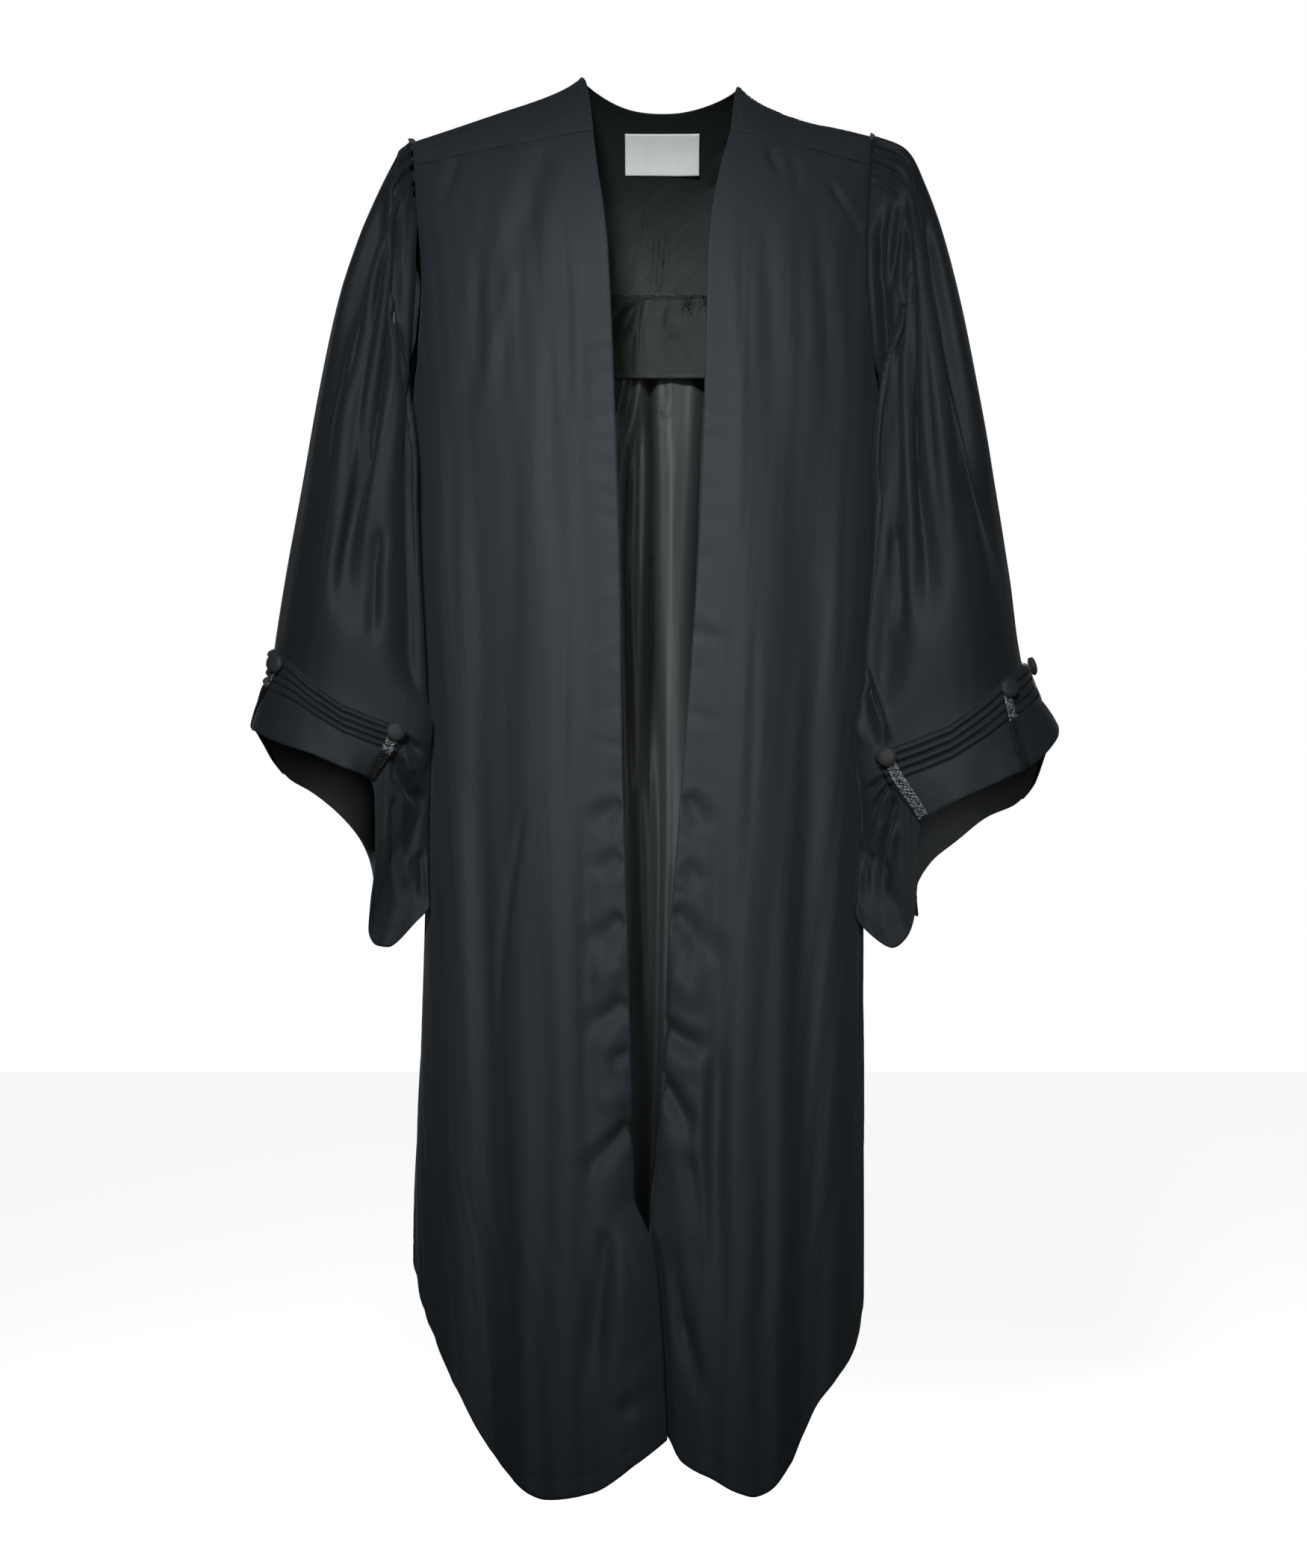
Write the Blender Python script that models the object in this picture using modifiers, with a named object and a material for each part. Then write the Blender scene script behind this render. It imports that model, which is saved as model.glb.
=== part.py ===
"""Advocate's gown, worn open with no wearer inside.

A yoke over the shoulders carries two fronts that fall open, a full back gathered to the yoke, and bell
sleeves whose fronts are tucked up under buttons and braid. Right and left are the wearer's: the wearer
faces -Y with the right side at -X. The origin is the shoulder line, level with the right neck point.
Sizes are millimetres, written to the scene in metres.
"""

import math

import bmesh
import bpy
import numpy as np
from mathutils import Vector

MM = 0.001

# Cloth, and the gap left between pieces that are sewn together
WALL = 1.5
STAY_WALL = 1.2
CUFF_WALL = 1.2
BRAID_WALL = 1.2
LABEL_WALL = 1.0
SEAM = 0.4

# Torso that the cloth hangs on: half widths to the right and left side seams, depths to front and back
TORSO_COLUMNS = ("z", "right", "left", "front", "back")
TORSO = (
    (40, 223, 203, 112, 116),
    (-120, 223, 203, 114, 118),
    (-220, 219, 203, 116, 121),
    (-300, 215, 202, 117, 124),
    (-420, 213, 199, 118, 128),
    (-600, 201, 188, 121, 133),
    (-790, 204, 186, 125, 138),
    (-1000, 212, 187, 130, 143),
    (-1250, 217, 187, 133, 148),
)
SQUARENESS = 2.4
RING_Z = -420
FRONT_ROLL = 200
BACK_ROLL = 150
FRONT_ROLL_POWER = 1.15

# Shoulder ridge: where it meets the neck, how steeply it falls, and the short stand at the neck
NECK_X = {"right": 64, "left": 76}
NECK_Z = {"right": 0, "left": -8}
SHOULDER_SLOPE = {"right": 0.33, "left": 0.225}
STAND_RISE = {"right": 8, "left": 18}
STAND_RUN = {"right": 12, "left": 20}
BACK_NECK_FALL = 18

# Armhole: how far it lies in from the side seam's line, from shoulder tip (0) to underarm (1)
ARMHOLE_COLUMNS = ("share", "front", "back")
ARMHOLE = ((0, 8, 8), (0.25, 14, 15), (0.5, 17, 19), (0.75, 12, 13), (1, 0, 0))
TIP_X = {"right": 214, "left": 195}
UNDERARM_Z = -300

# Yoke seams: height at the front edge and how it falls towards the armhole; height across the back
FRONT_SEAM_Z = {"right": -58, "left": -56}
FRONT_SEAM_SLOPE = {"right": 0.15, "left": 0.21}
BACK_SEAM_Z = -181

# Front edges, as the distance from the middle towards the wearer's own side, and the hem below them
EDGE_COLUMNS = ("z", "right", "left")
EDGE = (
    (-56, 53, 68),
    (-98, 48, 57),
    (-130, 43, 51),
    (-170, 39, 47),
    (-280, 34, 44),
    (-430, 29, 38),
    (-630, 26, 24),
    (-830, 20, 8),
    (-980, 17, -2),
    (-1030, 0, -3),
    (-1100, -7, 0),
    (-1200, -12, 2),
)
HEM_COLUMNS = ("x", "z")
HEM = {
    "right": (
        (-12, -1194), (14, -1212), (55, -1238), (80, -1242), (93, -1243), (106, -1239), (133, -1215),
        (151, -1190), (164, -1166), (177, -1142), (189, -1118), (201, -1093), (210, -1070), (216, -1046),
    ),
    "left": (
        (2, -1188), (12, -1194), (24, -1213), (50, -1226), (75, -1238), (86, -1241), (97, -1238),
        (118, -1216), (130, -1191), (143, -1166), (162, -1144), (178, -1122), (184, -1098), (187, -1076),
    ),
}

# Towards the hem the front edges draw in, and the left one passes under the right one
EDGE_RECESS = 16
EDGE_RECESS_RUN = 45
EDGE_RECESS_FADE_Z = (-700, -1000)
UNDERLAP = 4.4
UNDERLAP_FADE_Z = (-900, -1000)

# Soft folds of the fronts: where each one runs, as distances to the wearer's own side
FRONT_FOLD_COLUMNS = ("x_top", "x_bottom", "half_width", "height", "z_top", "z_bottom")
FRONT_FOLDS = {
    "right": (
        (95, 82, 34, 7, -120, -1250), (150, 140, 16, -7, -220, -1250), (180, 176, 16, 5, -250, -1250),
        (56, 58, 10, -4, -520, -1250), (120, 110, 9, 4, -600, -1250),
    ),
    "left": (
        (88, 78, 32, 7, -120, -1250), (142, 132, 15, -7, -220, -1250), (166, 160, 13, 5, -250, -1250),
        (56, 52, 10, -4, -620, -1250), (112, 108, 9, 4, -600, -1250),
    ),
}

# Back: pleats below the yoke, the stay inside their tops, and the hem
PLEATS = 11
PLEAT_TOP = 4
PLEAT_HEM = 15
PLEAT_FULL_Z = -620
PLEAT_FADE = 0.16
CROWDING = 5
PLEAT_POINT = -0.15
BACK_HEM_MIDDLE_Z = -1188
STAY_BOTTOM_Z = -256
STAY_HALF_WIDTH = 150
STAY_DROP = 2
STAY_TOP_CLEARANCE = 5.6
STAY_BOTTOM_CLEARANCE = 15

# Label inside the back yoke
LABEL_MIDDLE_X = 8
LABEL_WIDTH = 68
LABEL_TOP_Z = -36
LABEL_HEIGHT = 36
LABEL_EASE = 0.5

# Sleeve sections from the armhole down: the outer line, the inner line and the depths between them.
# Crowd draws the folds together at the top of the armhole, and lean carries the front over the body.
STATION_COLUMNS = ("out_x", "out_z", "in_x", "in_z", "front", "back", "crowd", "lean")
STATIONS = {
    "right": (
        (229, -73, 218, -318, 62, 66, 0.45, 0),
        (244, -102, 218, -350, 74, 76, 0.40, 12),
        (262, -146, 218, -388, 84, 84, 0.30, 21),
        (281, -205, 217, -428, 90, 90, 0.20, 23),
        (298, -285, 214, -474, 93, 95, 0.10, 23),
        (313, -370, 211, -522, 94, 98, 0, 23),
        (326, -440, 208, -568, 94, 98, 0, 23),
        (337, -508, 207, -612, 92, 96, 0, 24),
    ),
    "left": (
        (226, -66, 206, -318, 62, 66, 0.45, 0),
        (242, -96, 205, -352, 74, 76, 0.40, 15),
        (258, -142, 204, -394, 84, 84, 0.30, 22),
        (274, -205, 202, -440, 90, 90, 0.20, 24),
        (288, -275, 199, -490, 93, 95, 0.10, 26),
        (302, -355, 196, -540, 94, 98, 0, 28),
        (316, -440, 193, -590, 94, 98, 0, 30),
        (327, -520, 191, -636, 92, 96, 0, 32),
    ),
}
LEAN_ANGLE = 130
LEAN_SPREAD = 28
INNER_FRONT_POWER = 0.72
BODY_CLEARANCE = {"front": 5, "back": 14}
BODY_CLEARANCE_RUN = 60
BODY_CLEARANCE_LEVELS = (0.2, 1)
ARMHOLE_CROWD = 0.5
SLEEVE_SEAM = 1.7

# Sleeve opening: tucked up in front under the cuff, hanging low at the inner side, rising behind
RIM_COLUMNS = ("angle", "x", "y", "z")
RIM = {
    "right": (
        (0, 348, 2, -583), (18, 344, -45, -584), (38, 326, -84, -594), (62, 296, -100, -604),
        (86, 268, -102, -616), (106, 252, -96, -622), (117, 246, -90, -626), (123, 242, -86, -645),
        (128, 242, -80, -690), (134, 247, -72, -735), (140, 249, -66, -758), (147, 243, -62, -771),
        (154, 232, -59, -773), (162, 209, -62, -752), (171, 196, -60, -737), (183, 207, -20, -728),
        (196, 208, 12, -722), (210, 214, 40, -728), (224, 234, 62, -735), (238, 252, 74, -728),
        (250, 258, 80, -705), (262, 268, 84, -682), (276, 290, 84, -656), (292, 312, 80, -638),
        (310, 332, 64, -625), (330, 341, 42, -610), (346, 346, 20, -592),
    ),
    "left": (
        (0, 352, 0, -582), (18, 348, -42, -592), (38, 329, -82, -613), (62, 299, -98, -628),
        (86, 266, -102, -643), (106, 243, -98, -655), (117, 233, -92, -662), (123, 231, -88, -676),
        (128, 230, -84, -705), (134, 227, -78, -746), (140, 220, -74, -765), (147, 208, -74, -773),
        (154, 190, -76, -762), (162, 178, -76, -748), (171, 175, -62, -735), (183, 188, -25, -726),
        (196, 193, 12, -722), (210, 202, 40, -730), (224, 222, 62, -742), (238, 241, 75, -751),
        (250, 241, 80, -726), (262, 254, 84, -702), (276, 278, 84, -682), (292, 304, 80, -661),
        (310, 330, 62, -648), (330, 341, 42, -632), (346, 347, 20, -604),
    ),
}

# Long folds of the sleeves: deep narrow troughs between broad ridges, by angle round the sleeve
TROUGH_COLUMNS = ("angle", "depth", "half_width", "start", "end")
TROUGHS = {
    "right": (
        (48, 6, 12, 1.0, 6.0), (86, 10, 11, 0.6, 7.0), (122, 12, 11, 0.5, 7.6), (163, 8, 10, 0.8, 8.2),
        (205, 7, 13, 1.5, 8.6), (246, 9, 12, 1.0, 8.8), (286, 10, 12, 0.8, 8.8), (325, 8, 12, 0.8, 8.2),
    ),
    "left": (
        (54, 8, 13, 0.6, 6.2), (92, 7, 10, 2.0, 6.8), (114, 12, 10, 0.4, 7.6), (139, 8, 9, 3.0, 8.6),
        (164, 8, 10, 0.8, 8.2), (205, 7, 13, 1.5, 8.6), (246, 9, 12, 1.0, 8.8), (286, 10, 12, 0.8, 8.8),
        (325, 8, 12, 0.8, 8.2),
    ),
}
GATHERS = 5
GATHER_FIRST = 8
GATHER_STEP = 16.8
GATHER_HEIGHT = 2.6
GATHER_END = 1.6

# Cuff: tucks over a plain band, from behind the outer line round to the inner button
CUFF_START = -44
CUFF_END = 118
CUFF_TOP = 8.02
CUFF_TUCKS_END = 8.45
TUCKS = 4
TUCK_LOW = 2.1
TUCK_HIGH = 5.0
BAND_LIFT = 2.6
BAND_MIDDLE = 8.75
BAND_FLARE = 6
BAND_FLARE_LEVELS = (8.3, 9)
BAND_FLARE_ANGLES = (-40, 0, 10, 70)
BRAID_END = 8.98
BRAID_COLUMNS = ("place", "top", "bottom")
BRAIDS = {
    "right": (("outer", 41, 6), ("inner", 112, 113), ("rear", -36, -36)),
    "left": (("outer", 50, 46), ("inner", 113, 113), ("rear", -4, -8)),
}
BRAID_WIDTH = 12
BRAID_LIFT = 6.6
BUTTON_RADIUS = 8.5
BUTTON_DEPTH = 6
BUTTON_LIFT = 7.9
BUTTON_LEVEL = 8.1

# How finely each piece is sampled
FRONT_COLUMNS = 17
FRONT_ROWS_ABOVE = 6
FRONT_ROWS_BELOW = 15
BACK_COLUMNS_PER_PLEAT = 4
BACK_ROWS_ABOVE = 3
BACK_ROWS_BELOW = 10
YOKE_ROWS = 9
YOKE_FRONT_STEPS = 4
YOKE_ARMHOLE_STEPS = 5
YOKE_BACK_STEPS = 6
SLEEVE_COLUMNS = ((8, 92, 20), (92, 170, 15), (170, 215, 5), (215, 368, 12))
SLEEVE_LEVELS = (0, 0.3, 0.7, 1.2, 2, 3, 4, 5, 6, 7, 7.6, 8, 8.25, 8.5, 8.75, 9)
CUFF_COLUMNS = 21
STAY_GRID = (17, 4)
LABEL_GRID = (9, 5)
BRAID_GRID = (4, 7)
SMALL_ANGLE = 0.02
SMALL_LEVEL = 0.02

SIGN = {"right": -1, "left": 1}


def column(rows, names, name):
    """One named column of a table."""
    return np.array([row[names.index(name)] for row in rows], float)


def smooth(at, xs, ys):
    """Monotone cubic curve through the points, read at one value or an array, level past its ends."""
    order = np.argsort(xs)
    xs, ys = xs[order], ys[order]
    steps = np.diff(xs)
    slopes = np.diff(ys) / steps
    products = np.maximum(slopes[:-1] * slopes[1:], 0)
    sums = slopes[:-1] + slopes[1:]
    inner = 2 * products / np.where(products > 0, sums, 1)
    tangents = np.concatenate([[slopes[0]], inner, [slopes[-1]]])
    at = np.clip(at, xs[0], xs[-1])
    i = np.clip(np.searchsorted(xs, at) - 1, 0, len(xs) - 2)
    t = (at - xs[i]) / steps[i]
    rise = ys[i] * (1 + 2 * t) * (1 - t) ** 2 + ys[i + 1] * t**2 * (3 - 2 * t)
    return rise + steps[i] * (tangents[i] * t * (1 - t) ** 2 - tangents[i + 1] * t**2 * (1 - t))


def torso(name, z):
    return smooth(z, column(TORSO, TORSO_COLUMNS, "z"), column(TORSO, TORSO_COLUMNS, name))


def by_side(x, values):
    """The value of the side that x lies on."""
    return np.where(np.asarray(x) < 0, values["right"], values["left"])


def half_width(x, z):
    return np.where(np.asarray(x) < 0, torso("right", z), torso("left", z))


def ridge(x):
    """Height of the shoulder ridge: sloping outwards from the neck points, level between them."""
    level = np.interp(x, [-NECK_X["right"], NECK_X["left"]], [NECK_Z["right"], NECK_Z["left"]])
    out = np.maximum(np.abs(x) - by_side(x, NECK_X), 0)
    stand = by_side(x, STAND_RISE) * (1 - np.exp(-out / by_side(x, STAND_RUN)))
    return level - by_side(x, SHOULDER_SLOPE) * out - stand


def roll(fall, height):
    """Share of the full depth reached at this fall below the shoulder ridge."""
    return np.sqrt(1 - np.clip(1 - fall / height, 0, 1) ** 2)


def bulge(x, z):
    """Share of the full depth left at x, none at the side seams."""
    across = np.clip(np.abs(x) / half_width(x, z), 0, 1)
    return (1 - across**SQUARENESS) ** (1 / SQUARENESS)


def front_y(x, z):
    over = roll(ridge(x) - z, FRONT_ROLL) ** FRONT_ROLL_POWER
    return -(SEAM / 2 + torso("front", z) * bulge(x, z) * over)


def back_y(x, z):
    return SEAM / 2 + torso("back", z) * bulge(x, z) * roll(ridge(x) - z, BACK_ROLL)


def arc_table():
    """Angles round half of the torso's ring and the share of its length that each one has reached."""
    angles = np.linspace(-math.pi / 2, math.pi / 2, 721)
    x = np.sign(angles) * np.abs(np.sin(angles)) ** (2 / SQUARENESS)
    y = np.abs(np.cos(angles)) ** (2 / SQUARENESS) * torso("front", RING_Z) / torso("right", RING_Z)
    arc = np.concatenate([[0], np.cumsum(np.hypot(np.diff(x), np.diff(y)))])
    return angles, arc / arc[-1]


RING_ANGLES, RING_SHARES = arc_table()


def x_of(share, z):
    """x at a share of the way round from the right side seam (0) to the left one (1)."""
    angle = np.interp(share, RING_SHARES, RING_ANGLES)
    return half_width(angle, z) * np.sign(angle) * np.abs(np.sin(angle)) ** (2 / SQUARENESS)


def share_of(x, z):
    across = np.clip(np.abs(x) / half_width(x, z), 0, 1)
    return np.interp(np.sign(x) * np.arcsin(across ** (SQUARENESS / 2)), RING_ANGLES, RING_SHARES)


def tip_z(side):
    return float(ridge(SIGN[side] * TIP_X[side]))


def armhole_x(side, z, face):
    """x of the armhole at this height; below the underarm it is the side seam."""
    share = np.clip((z - tip_z(side)) / (UNDERARM_Z - tip_z(side)), 0, 1)
    inset = smooth(share, column(ARMHOLE, ARMHOLE_COLUMNS, "share"), column(ARMHOLE, ARMHOLE_COLUMNS, face))
    return SIGN[side] * (torso(side, z) - inset)


def edge_x(side, z):
    return SIGN[side] * smooth(z, column(EDGE, EDGE_COLUMNS, "z"), column(EDGE, EDGE_COLUMNS, side))


def front_seam_z(side, x):
    out = np.abs(x) - abs(float(edge_x(side, FRONT_SEAM_Z[side])))
    return FRONT_SEAM_Z[side] - FRONT_SEAM_SLOPE[side] * out


def front_hem_z(side, x):
    own = SIGN[side] * x
    return smooth(own, column(HEM[side], HEM_COLUMNS, "x"), column(HEM[side], HEM_COLUMNS, "z"))


def side_hem_z(side):
    return HEM[side][-1][1]


def fade(at, start, end):
    """0 at start, 1 at end, smooth between them."""
    t = np.clip((at - start) / (end - start), 0, 1)
    return t * t * (3 - 2 * t)


def displaced(points, amount):
    """The grid moved along its normals by amount, outwards where columns and rows turn right-handed."""
    normals = np.cross(np.gradient(points, axis=1), np.gradient(points, axis=0))
    length = np.linalg.norm(normals, axis=2, keepdims=True)
    return points + normals / length * np.asarray(amount)[..., None]


def levels(*spans):
    """Joined runs of evenly spaced values, each given as start, end and number of steps."""
    joined = [np.linspace(start, end, steps + 1)[1:] for start, end, steps in spans]
    return np.concatenate([[spans[0][0]], *joined])


def front_points(side):
    """Grid of one front: columns from side seam or armhole to the front edge, rows from yoke to hem."""
    across = np.linspace(0, 1, FRONT_COLUMNS + 1)[None, :]
    down = levels((0, 1, FRONT_ROWS_ABOVE), (1, 2, FRONT_ROWS_BELOW))[:, None]

    def place(z):
        outer = share_of(armhole_x(side, z, "front"), z)
        inner = share_of(edge_x(side, z), z)
        return x_of(outer + (inner - outer) * across, z)

    top = front_seam_z(side, place(np.full_like(across, FRONT_SEAM_Z[side]))) - SEAM / 2
    hem = front_hem_z(side, place(np.full_like(across, BACK_HEM_MIDDLE_Z)))
    upper = top + (UNDERARM_Z - top) * np.clip(down, 0, 1)
    z = upper + (hem - UNDERARM_Z) * np.clip(down - 1, 0, 1)
    x = place(z)
    y = front_y(x, z)
    lower = fade(z, *EDGE_RECESS_FADE_Z)
    top_edge = edge_x("right", z)
    edge = top_edge if side == "right" else np.maximum(edge_x("left", z), top_edge)
    from_edge = np.clip(1 - np.maximum(SIGN[side] * (x - edge), 0) / EDGE_RECESS_RUN, 0, 1)
    y = y + EDGE_RECESS * lower * from_edge**2
    if side == "left":
        y = y + UNDERLAP * fade(z, *UNDERLAP_FADE_Z) * fade(from_edge, 0, 0.5)
    for row in FRONT_FOLDS[side]:
        fold = dict(zip(FRONT_FOLD_COLUMNS, row))
        share = (z - fold["z_top"]) / (fold["z_bottom"] - fold["z_top"])
        middle = fold["x_top"] + (fold["x_bottom"] - fold["x_top"]) * share
        shape = np.exp(-(((SIGN[side] * x - middle) / fold["half_width"]) ** 2))
        y = y - fold["height"] * shape * fade(share, 0, 0.3) * bulge(x, z)
    return np.stack([x, y, z], axis=2)


def pleat_amount(share, z):
    """Height of the back's pleats: gathered small at the yoke, full at the hem, none at the side seams."""
    size = PLEAT_TOP + (PLEAT_HEM - PLEAT_TOP) * fade(z, BACK_SEAM_Z, PLEAT_FULL_Z)
    turn = 2 * math.pi * PLEATS * share
    sides = fade(share, 0, PLEAT_FADE) * fade(1 - share, 0, PLEAT_FADE)
    return size * (np.cos(turn) + PLEAT_POINT * np.cos(2 * turn)) * sides


def back_points():
    """Grid of the back: columns from the right side round to the left, rows from yoke to hem."""
    share = np.linspace(0, 1, PLEATS * BACK_COLUMNS_PER_PLEAT + 1)[None, :]
    down = levels((0, 1, BACK_ROWS_ABOVE), (1, 2, BACK_ROWS_BELOW))[:, None]
    side_hem = side_hem_z("right") + (side_hem_z("left") - side_hem_z("right")) * share
    hem = side_hem + (BACK_HEM_MIDDLE_Z - side_hem) * np.sin(math.pi * share)
    top = BACK_SEAM_Z - SEAM / 2
    upper = top + (UNDERARM_Z - top) * np.clip(down, 0, 1)
    z = upper + (hem - UNDERARM_Z) * np.clip(down - 1, 0, 1)
    first = share_of(armhole_x("right", z, "back"), z)
    last = share_of(armhole_x("left", z, "back"), z)
    crowded = first * (1 - share) ** CROWDING - (1 - last) * share**CROWDING
    x = x_of(share + crowded, z)
    base = np.stack([x, back_y(x, z), z], axis=2)
    return displaced(base, -pleat_amount(share, z))


def yoke_half(side):
    """Rows from neck to outer edge, columns from the front seam over the shoulder to the middle back."""
    sign = SIGN[side]
    out = np.linspace(0, 1, YOKE_ROWS + 1)[:, None] ** 1.3
    over = np.linspace(0, 1, YOKE_FRONT_STEPS + 1)[None, :]
    seam_edge = abs(float(edge_x(side, FRONT_SEAM_Z[side])))
    neck = sign * (seam_edge + (NECK_X[side] - seam_edge) * over)
    x = neck + (sign * TIP_X[side] - neck) * out
    for _ in range(2):
        fall = (ridge(x) - front_seam_z(side, x) - SEAM / 2) * (1 - over) ** 2
        outer = armhole_x(side, (ridge(x) - fall)[-1:], "front")
        x = neck + (outer - neck) * out
    z = ridge(x) - fall
    front = np.stack([x, front_y(x, z), z], axis=2)

    turn = levels((0, 0.5, YOKE_ARMHOLE_STEPS), (0.5, 1, YOKE_BACK_STEPS))[None, :]
    neck_x = sign * NECK_X[side] * np.cos(turn * math.pi / 2)
    neck_fall = BACK_NECK_FALL * np.sin(turn * math.pi / 2) ** 2
    corner_z = BACK_SEAM_Z + SEAM / 2
    edge_z = tip_z(side) + (corner_z - tip_z(side)) * np.clip(turn * 2, 0, 1)
    corner_x = armhole_x(side, np.array(corner_z), "back")
    edge = np.where(turn < 0.5, armhole_x(side, edge_z, "back"), corner_x * np.clip(2 - turn * 2, 0, 1))
    x = neck_x + (edge - neck_x) * out
    fall = neck_fall + (ridge(edge) - edge_z - neck_fall) * out
    z = ridge(x) - fall
    back = np.stack([x, back_y(x, z), z], axis=2)
    front[:, -1, 1] = 0
    return np.concatenate([front, back[:, 1:]], axis=1)


def yoke_points():
    right, left = yoke_half("right"), yoke_half("left")
    return np.concatenate([right, left[:, -2::-1]], axis=1)


def stay_points():
    """The flat band sewn inside the tops of the pleats, with its lower edge free."""
    x = np.linspace(-STAY_HALF_WIDTH, STAY_HALF_WIDTH, STAY_GRID[0])[None, :]
    down = np.linspace(0, 1, STAY_GRID[1])[:, None]
    top = BACK_SEAM_Z - STAY_DROP
    z = top + (STAY_BOTTOM_Z - top) * down + 0 * x
    inside = STAY_TOP_CLEARANCE + (STAY_BOTTOM_CLEARANCE - STAY_TOP_CLEARANCE) * down
    return np.stack([x + 0 * z, back_y(x, z) - inside, z], axis=2)


def label_points():
    across = np.linspace(-0.5, 0.5, LABEL_GRID[0])[None, :]
    down = np.linspace(0, 1, LABEL_GRID[1])[:, None]
    x = LABEL_MIDDLE_X + LABEL_WIDTH * across + 0 * down
    z = LABEL_TOP_Z - LABEL_HEIGHT * down + 0 * across
    inside = WALL / 2 + SEAM + LABEL_WALL / 2 + LABEL_EASE
    return displaced(np.stack([x, back_y(x, z), z], axis=2), -inside)


def armhole_ring(side, angles):
    """The armhole's edge as the sleeve's first section, a seam's width outside it."""
    turned = angles - ARMHOLE_CROWD * np.sin(angles)
    z = tip_z(side) + (UNDERARM_Z - tip_z(side)) * (1 - np.cos(turned)) / 2
    front = np.sin(turned) >= 0
    x = np.where(front, armhole_x(side, z, "front"), armhole_x(side, z, "back"))
    y = np.where(front, front_y(x, z), back_y(x, z))
    return np.stack([x + SIGN[side] * SLEEVE_SEAM, y, z], axis=1)


def station_ring(side, row, angles):
    section = dict(zip(STATION_COLUMNS, row))
    turned = angles - section["crowd"] * np.sin(angles)
    to_outer, to_front = np.cos(turned), np.sin(turned)
    middle_x, half_x = (section["out_x"] + section["in_x"]) / 2, (section["out_x"] - section["in_x"]) / 2
    middle_z, half_z = (section["out_z"] + section["in_z"]) / 2, (section["out_z"] - section["in_z"]) / 2
    lean = section["lean"] * np.exp(-(((np.degrees(angles) % 360 - LEAN_ANGLE) / LEAN_SPREAD) ** 2))
    power = np.where((to_outer < 0) & (to_front > 0), INNER_FRONT_POWER, 1)
    x = middle_x + half_x * np.sign(to_outer) * np.abs(to_outer) ** power - lean
    depth = np.where(to_front > 0, section["front"], section["back"])
    y = -np.sign(to_front) * np.abs(to_front) ** power * depth
    return np.stack([SIGN[side] * x, y, middle_z + half_z * to_outer], axis=1)


def rim_ring(side, angles):
    rows = RIM[side]
    known = column(rows, RIM_COLUMNS, "angle")
    around = np.concatenate([known[-3:] - 360, known, known[:3] + 360])
    degrees = np.degrees(angles) % 360
    read = []
    for name in RIM_COLUMNS[1:]:
        values = column(rows, RIM_COLUMNS, name)
        read.append(smooth(degrees, around, np.concatenate([values[-3:], values, values[:3]])))
    return np.stack([SIGN[side] * read[0], read[1], read[2]], axis=1)


def sleeve_base(side, angles, at):
    """Sleeve surface with no folds, on a smooth curve through the sections along each angle."""
    rings = [armhole_ring(side, angles)]
    rings += [station_ring(side, row, angles) for row in STATIONS[side]]
    rings = np.array([*rings, rim_ring(side, angles)])
    at = np.asarray(at, float)
    last = len(rings) - 1
    i = np.clip(np.floor(at).astype(int), 0, last - 1)
    t = (at - i)[:, None, None]
    before, after = np.maximum(i - 1, 0), np.minimum(i + 2, last)
    start = (rings[i + 1] - rings[before]) / (i + 1 - before)[:, None, None]
    end = (rings[after] - rings[i]) / (after - i)[:, None, None]
    rise = rings[i] * (1 + 2 * t) * (1 - t) ** 2 + rings[i + 1] * t**2 * (3 - 2 * t)
    return rise + start * t * (1 - t) ** 2 - end * t**2 * (1 - t)


def sleeve_folds(side, angles, at):
    degrees = np.degrees(angles)[None, :] % 360
    at = np.asarray(at, float)[:, None]
    amount = np.zeros((at.shape[0], degrees.shape[1]))
    for row in TROUGHS[side]:
        trough = dict(zip(TROUGH_COLUMNS, row))
        shape = np.exp(-(((degrees - trough["angle"]) / trough["half_width"]) ** 2))
        length = fade(at, trough["start"], trough["start"] + 2) * fade(-at, -trough["end"], 1 - trough["end"])
        amount -= trough["depth"] * shape * length
    turn = (degrees - GATHER_FIRST) / GATHER_STEP
    ends = fade(turn, -0.5, 0.5) * fade(-turn, 0.5 - GATHERS, -0.5 - GATHERS + 2)
    return amount + GATHER_HEIGHT * np.cos(2 * math.pi * turn) * ends * fade(-at, -GATHER_END, -0.2)


def sleeve_angles():
    """Closer together over the gathered front half, with the first angle repeated at the end."""
    return np.radians(levels(*SLEEVE_COLUMNS))


def clear_of_body(side, points, at):
    """The sleeve moved outwards to hang beside the body where it would pass through it."""
    x, y, z = SIGN[side] * points[..., 0], points[..., 1], points[..., 2]
    depth = np.where(y < 0, torso("front", z), torso("back", z))
    beside = torso(side, z) * (1 - np.clip(np.abs(y) / depth, 0, 1) ** SQUARENESS) ** (1 / SQUARENESS)
    more = (BODY_CLEARANCE["back"] - BODY_CLEARANCE["front"]) * fade(y, 0, BODY_CLEARANCE_RUN)
    clearance = BODY_CLEARANCE["front"] + more
    need = np.where(np.abs(y) < depth, np.maximum(beside + clearance - x, 0), 0)
    moved = points.copy()
    moved[..., 0] = SIGN[side] * (x + need * fade(at, *BODY_CLEARANCE_LEVELS)[:, None])
    return moved


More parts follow.
